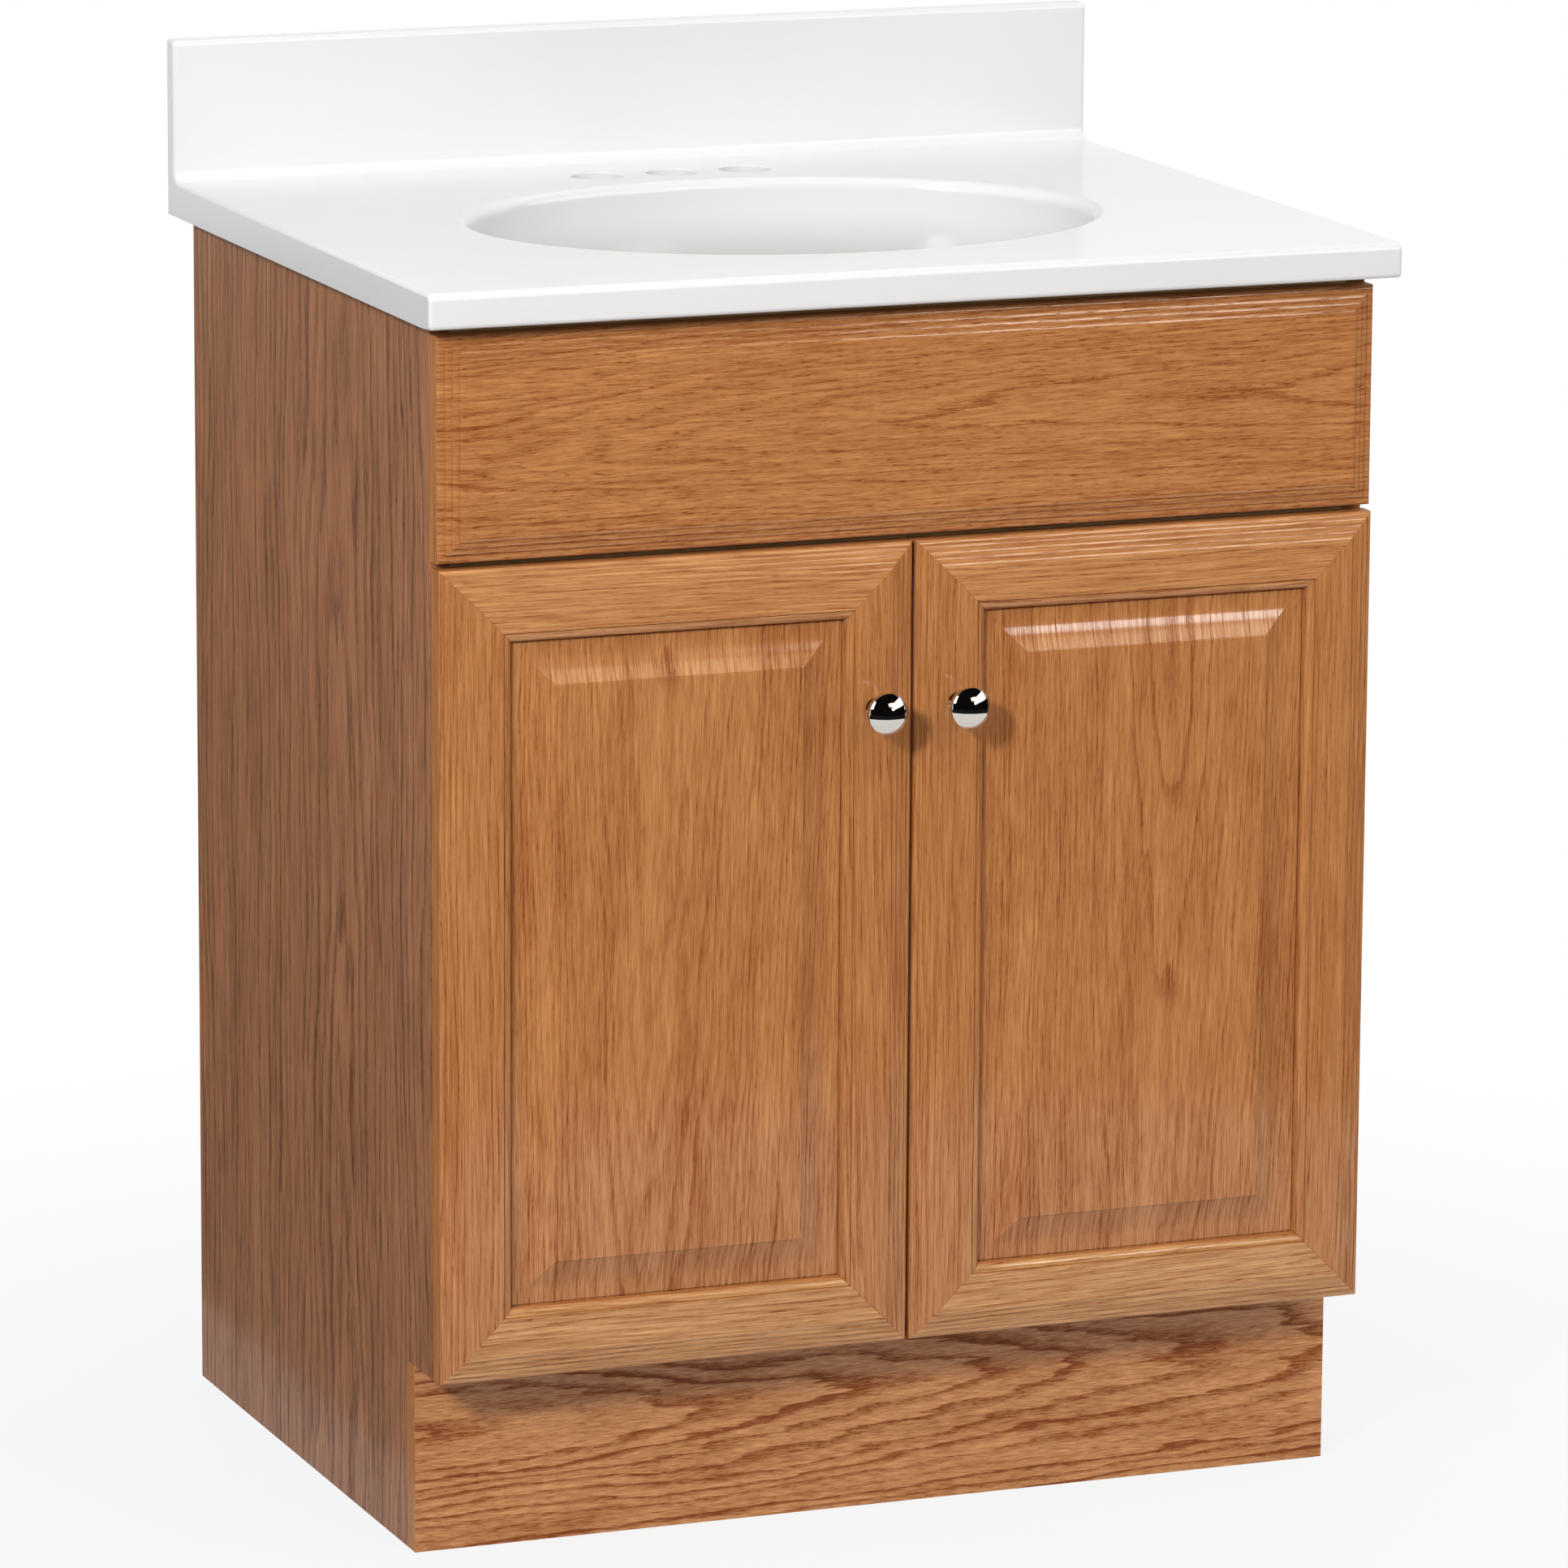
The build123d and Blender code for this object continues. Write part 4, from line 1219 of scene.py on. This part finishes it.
steel, tree, surface = start_material("nickel plated steel", Metallic=1.0)
place = add_node(tree, "TexCoord").outputs["Object"]
drawn_out = add_node(
    tree,
    "VectorMath",
    {0: place, 1: (1 / ROLLING_WIDTH, 1 / ROLLING_WIDTH, 1 / ROLLING_LENGTH)},
    operation="MULTIPLY",
).outputs[0]
lines = add_node(tree, "TexNoise", {"Vector": drawn_out, "Scale": 1.0, "Detail": 2.0}).outputs["Fac"]
plated = add_node(
    tree, "Mix", {0: lines, 6: colour("#b4b2ad"), 7: colour("#d6d4cf")}, data_type="RGBA"
).outputs[2]
tree.links.new(plated, surface.inputs["Base Color"])
dulled = add_node(tree, "MapRange", {"Value": lines, "To Min": 0.22, "To Max": 0.42}).outputs[0]
tree.links.new(dulled, surface.inputs["Roughness"])
print("rolling lines of", ROLLING_WIDTH / MM, "mm")

# %% Bumper resin
# Soft clear resin, a little milky: pale, smooth and faintly cloudy.
MILK = 1 * MM

bumper_resin = mottled("clear soft resin", MILK, "#d2d1ca", "#e4e3de", Roughness=0.3, IOR=1.49)

# %% Poplar and beech
# Bare sanded wood: pale and dull, with soft rings and few pores.
poplar, beech = [
    stained_oak(
        name,
        pith=(100 * MM, 20 * MM, height),
        trunk=(1, 0.02, 0.01),
        ring=ring,
        light=light,
        dark=dark,
        band=0.35,
        pores=0.15,
        lacquer=0.0,
    )
    for name, height, ring, light, dark in (
        ("sanded poplar rail", 400 * MM, 7 * MM, "#dcc294", "#b3935f"),
        ("turned beech dowel", 200 * MM, 3 * MM, "#dfc39a", "#bd966a"),
    )
]
print("two bare woods:", poplar.name, "and", beech.name)

# %% [markdown]
# ## Pieces inside the box
#
# The rails, blocks, dowels, hinges and bumpers keep the shape they have in the frame, because it is right
# already. New meshes would only repeat it. Each gets its finish, and two modifiers that join its
# triangles and round its edges a little.

# %% Pieces inside the box
ROUNDING = 0.3 * MM
ROUNDED_FROM = radians(50)
# The first word found in a node's name gives its finish.
inside = {
    "rail_dowels": beech,
    "door_dowels": beech,
    "rail": poplar,
    "blocks": poplar,
    "hinge": steel,
    "bumpers": bumper_resin,
}
kept = [(node, piece) for node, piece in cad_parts.items() if not piece.hide_render]
for node, piece in kept:
    word = next(word for word in inside if word in node)
    piece.data.materials.clear()
    piece.data.materials.append(inside[word])
    joined = piece.modifiers.new("join triangles", "WELD")
    joined.merge_threshold = FINE_MERGE
    rounded = piece.modifiers.new("round edges", "BEVEL")
    rounded.width = ROUNDING
    rounded.segments = 2
    rounded.limit_method = "ANGLE"
    rounded.angle_limit = ROUNDED_FROM
print(len(kept), "pieces keep the shape of the frame")

# %% [markdown]
# ## Floor and world
#
# The cabinet stands on a plain pale floor with nothing but white behind it. A curved backdrop could hide
# the horizon. Here the floor is matt grey paint that takes the shadow near the cabinet and fades to white
# further off, and the world is white to the eye and in reflections, but gives little light of its own.


# %% White to the eye
def white_when_seen(tree):
    """1 on rays from the camera, from a reflection or through glass, and 0 on rays of bounced light."""
    ray = add_node(tree, "LightPath").outputs
    seen = add_node(
        tree, "Math", {0: ray["Is Camera Ray"], 1: ray["Is Glossy Ray"]}, operation="MAXIMUM"
    ).outputs[0]
    return add_node(
        tree, "Math", {0: seen, 1: ray["Is Transmission Ray"]}, operation="MAXIMUM"
    ).outputs[0]


def studio_object(name, bm, material):
    """Turn a bmesh into an object of the studio."""
    mesh = bpy.data.meshes.new(name)
    bm.to_mesh(mesh)
    bm.free()
    mesh.materials.append(material)
    thing = bpy.data.objects.new(name, mesh)
    bpy.context.scene.collection.objects.link(thing)
    return thing


# %% Floor
# Matt paint without any gloss. Its glow grows with the distance from the cabinet.
FLOOR_REACH = 40
SHADOW_REACH = 0.35
WHITE_FROM = 1.2
NEAR_GLOW = 0.86

floor_paint, tree, surface = start_material("matt floor paint", Roughness=0.9, Specular_IOR_Level=0.0)
surface.inputs["Base Color"].default_value = colour("#bcbcbc")
place = add_node(tree, "TexCoord").outputs["Object"]
away = add_node(tree, "VectorMath", {0: place}, operation="LENGTH").outputs["Value"]
far = add_node(
    tree,
    "MapRange",
    {"Value": away, "From Min": SHADOW_REACH, "From Max": WHITE_FROM, "To Min": NEAR_GLOW},
    interpolation_type="SMOOTHSTEP",
).outputs[0]
share = add_node(tree, "Math", {0: far, 1: white_when_seen(tree)}, operation="MULTIPLY").outputs[0]
glow = add_node(tree, "Emission", {"Color": (1, 1, 1, 1), "Strength": 1.0}).outputs[0]
mixed = add_node(tree, "MixShader", {0: share, 1: surface.outputs[0], 2: glow}).outputs[0]
tree.links.new(mixed, tree.nodes["Material Output"].inputs["Surface"])
bm = bmesh.new()
bmesh.ops.create_grid(bm, x_segments=1, y_segments=1, size=FLOOR_REACH)
floor = studio_object("floor", bm, floor_paint)
print("the floor is white from", WHITE_FROM, "m")

# %% World
AMBIENT = 0.12

world = bpy.data.worlds.new("studio")
bpy.context.scene.world = world
world.use_nodes = True
tree = world.node_tree
strength = add_node(
    tree, "MapRange", {"Value": white_when_seen(tree), "To Min": AMBIENT, "To Max": 1.0}
).outputs[0]
background = tree.nodes["Background"]
background.inputs["Color"].default_value = (1, 1, 1, 1)
tree.links.new(strength, background.inputs["Strength"])
print("ambient light of", AMBIENT)

# %% [markdown]
# ## Dark screen
#
# Polished metal looks like metal only if it has something dark to mirror, so a photographer stands black
# felt round the camera's side. The knobs could be painted darker instead, but they would stay dark in any
# light. A dome and a floor cloth of felt stand here for reflections alone: neither the camera nor the
# light sees them.

# %% Dark screen
# Black felt takes up nearly all light and has no gloss.
SCREEN_NEAR = 1.3
SCREEN_RADIUS = 5.4
SCREEN_LIFT = 3 * MM
SCREEN_TOP = 88
SCREEN_START = radians(-70)
SCREEN_SWEEP = radians(168)
CLOTH_FAR = Vector((-4.5, 5.0, 2 * MM))
CLOTH_NEAR = Vector((-0.36, -0.3, 2 * MM))

felt, tree, surface = start_material("black felt", Roughness=1.0, Specular_IOR_Level=0.0)
surface.inputs["Base Color"].default_value = colour("#1c1b1a")
bm = bmesh.new()
dome = arc((0, 0), SCREEN_RADIUS, 0, SCREEN_TOP, steps=12)
outline = ((SCREEN_NEAR, SCREEN_LIFT), (SCREEN_RADIUS, SCREEN_LIFT), *dome[1:])
verts = [bm.verts.new((0, -r, z)) for r, z in outline]
edges = [bm.edges.new(pair) for pair in zip(verts, verts[1:])]
bmesh.ops.rotate(bm, verts=verts, cent=(0, 0, 0), matrix=Matrix.Rotation(SCREEN_START, 3, "Z"))
bmesh.ops.spin(bm, geom=[*verts, *edges], cent=(0, 0, 0), axis=(0, 0, 1), angle=SCREEN_SWEEP, steps=48)
reach = (CLOTH_FAR - CLOTH_NEAR) / 2
spot = Matrix.Translation((CLOTH_FAR + CLOTH_NEAR) / 2) @ Matrix.Diagonal((reach.x, reach.y, 1, 1))
bmesh.ops.create_grid(bm, x_segments=1, y_segments=1, size=1, matrix=spot)
screen = studio_object("dark_screen", bm, felt)
screen.visible_camera = False
screen.visible_diffuse = False
screen.visible_transmission = False
screen.visible_shadow = False
print("screen of", len(screen.data.polygons), "faces")

# %% [markdown]
# ## Lights
#
# A small key light to the left of the camera throws the shadows of the knobs, two soft lights above fill
# the top, and two behind and to the right keep the far sides from going black. Those five stay out of
# reflections. The gloss on the fronts has lamps of its own: a wide bank, a strip, a warm sheen and a small
# glint. One lamp could do both jobs, but then the gloss would change with every change of the shadows.

# %% Lights
AIM = Vector((0, -0.2, 0.45))
# Azimuth to the right of straight ahead and elevation in degrees, distance and size in metres, watts.
DIFFUSE_LAMPS = {
    "key softbox": (-45, 26, 4.5, (0.5, 0.5), 131),
    "high softbox": (5, 62, 2.6, (1.5, 0.9), 12),
    "overhead softbox": (0, 88, 2.4, (1.4, 1.0), 12),
    "back fill": (175, 13, 3.0, (2.0, 1.4), 42),
    "right fill": (114, 16, 3.0, (2.0, 1.4), 34),
}
GLOSS_LAMPS = {
    "right bank": (61, 28, 2.8, (3.0, 1.2), 21),
    "left strip": (-68, 32, 2.8, (0.6, 1.5), 12.5),
    "sheen softbox": (22, 34, 2.8, (1.0, 0.7), 6),
    "glint softbox": (26.5, 18, 3.0, (0.48, 0.5), 9),
}
WARM = (1.0, 0.9, 0.62)


def softbox(name, azimuth, elevation, distance, size, power):
    """An area light that looks at the cabinet."""
    data = bpy.data.lights.new(name, "AREA")
    data.shape = "RECTANGLE"
    data.size, data.size_y = size
    data.energy = power
    light = bpy.data.objects.new(name, data)
    a, e = radians(azimuth), radians(elevation)
    back = Vector((sin(a) * cos(e), -cos(a) * cos(e), sin(e)))
    light.location = AIM + back * distance
    light.rotation_mode = "QUATERNION"
    light.rotation_quaternion = (-back).to_track_quat("-Z", "Y")
    bpy.context.scene.collection.objects.link(light)
    return light


for name, lamp in DIFFUSE_LAMPS.items():
    softbox(name, *lamp).visible_glossy = False
gloss = {name: softbox(name, *lamp) for name, lamp in GLOSS_LAMPS.items()}
gloss["sheen softbox"].data.color = WARM
# The glint is for the wood and the knobs. The white top is left out, where it would burn a spot.
left_out = bpy.data.collections.new("left out of the glint")
left_out.objects.link(cast_top)
left_out.collection_objects[0].light_linking.link_state = "EXCLUDE"
gloss["glint softbox"].light_linking.receiver_collection = left_out
print(len(bpy.data.lights), "lamps")
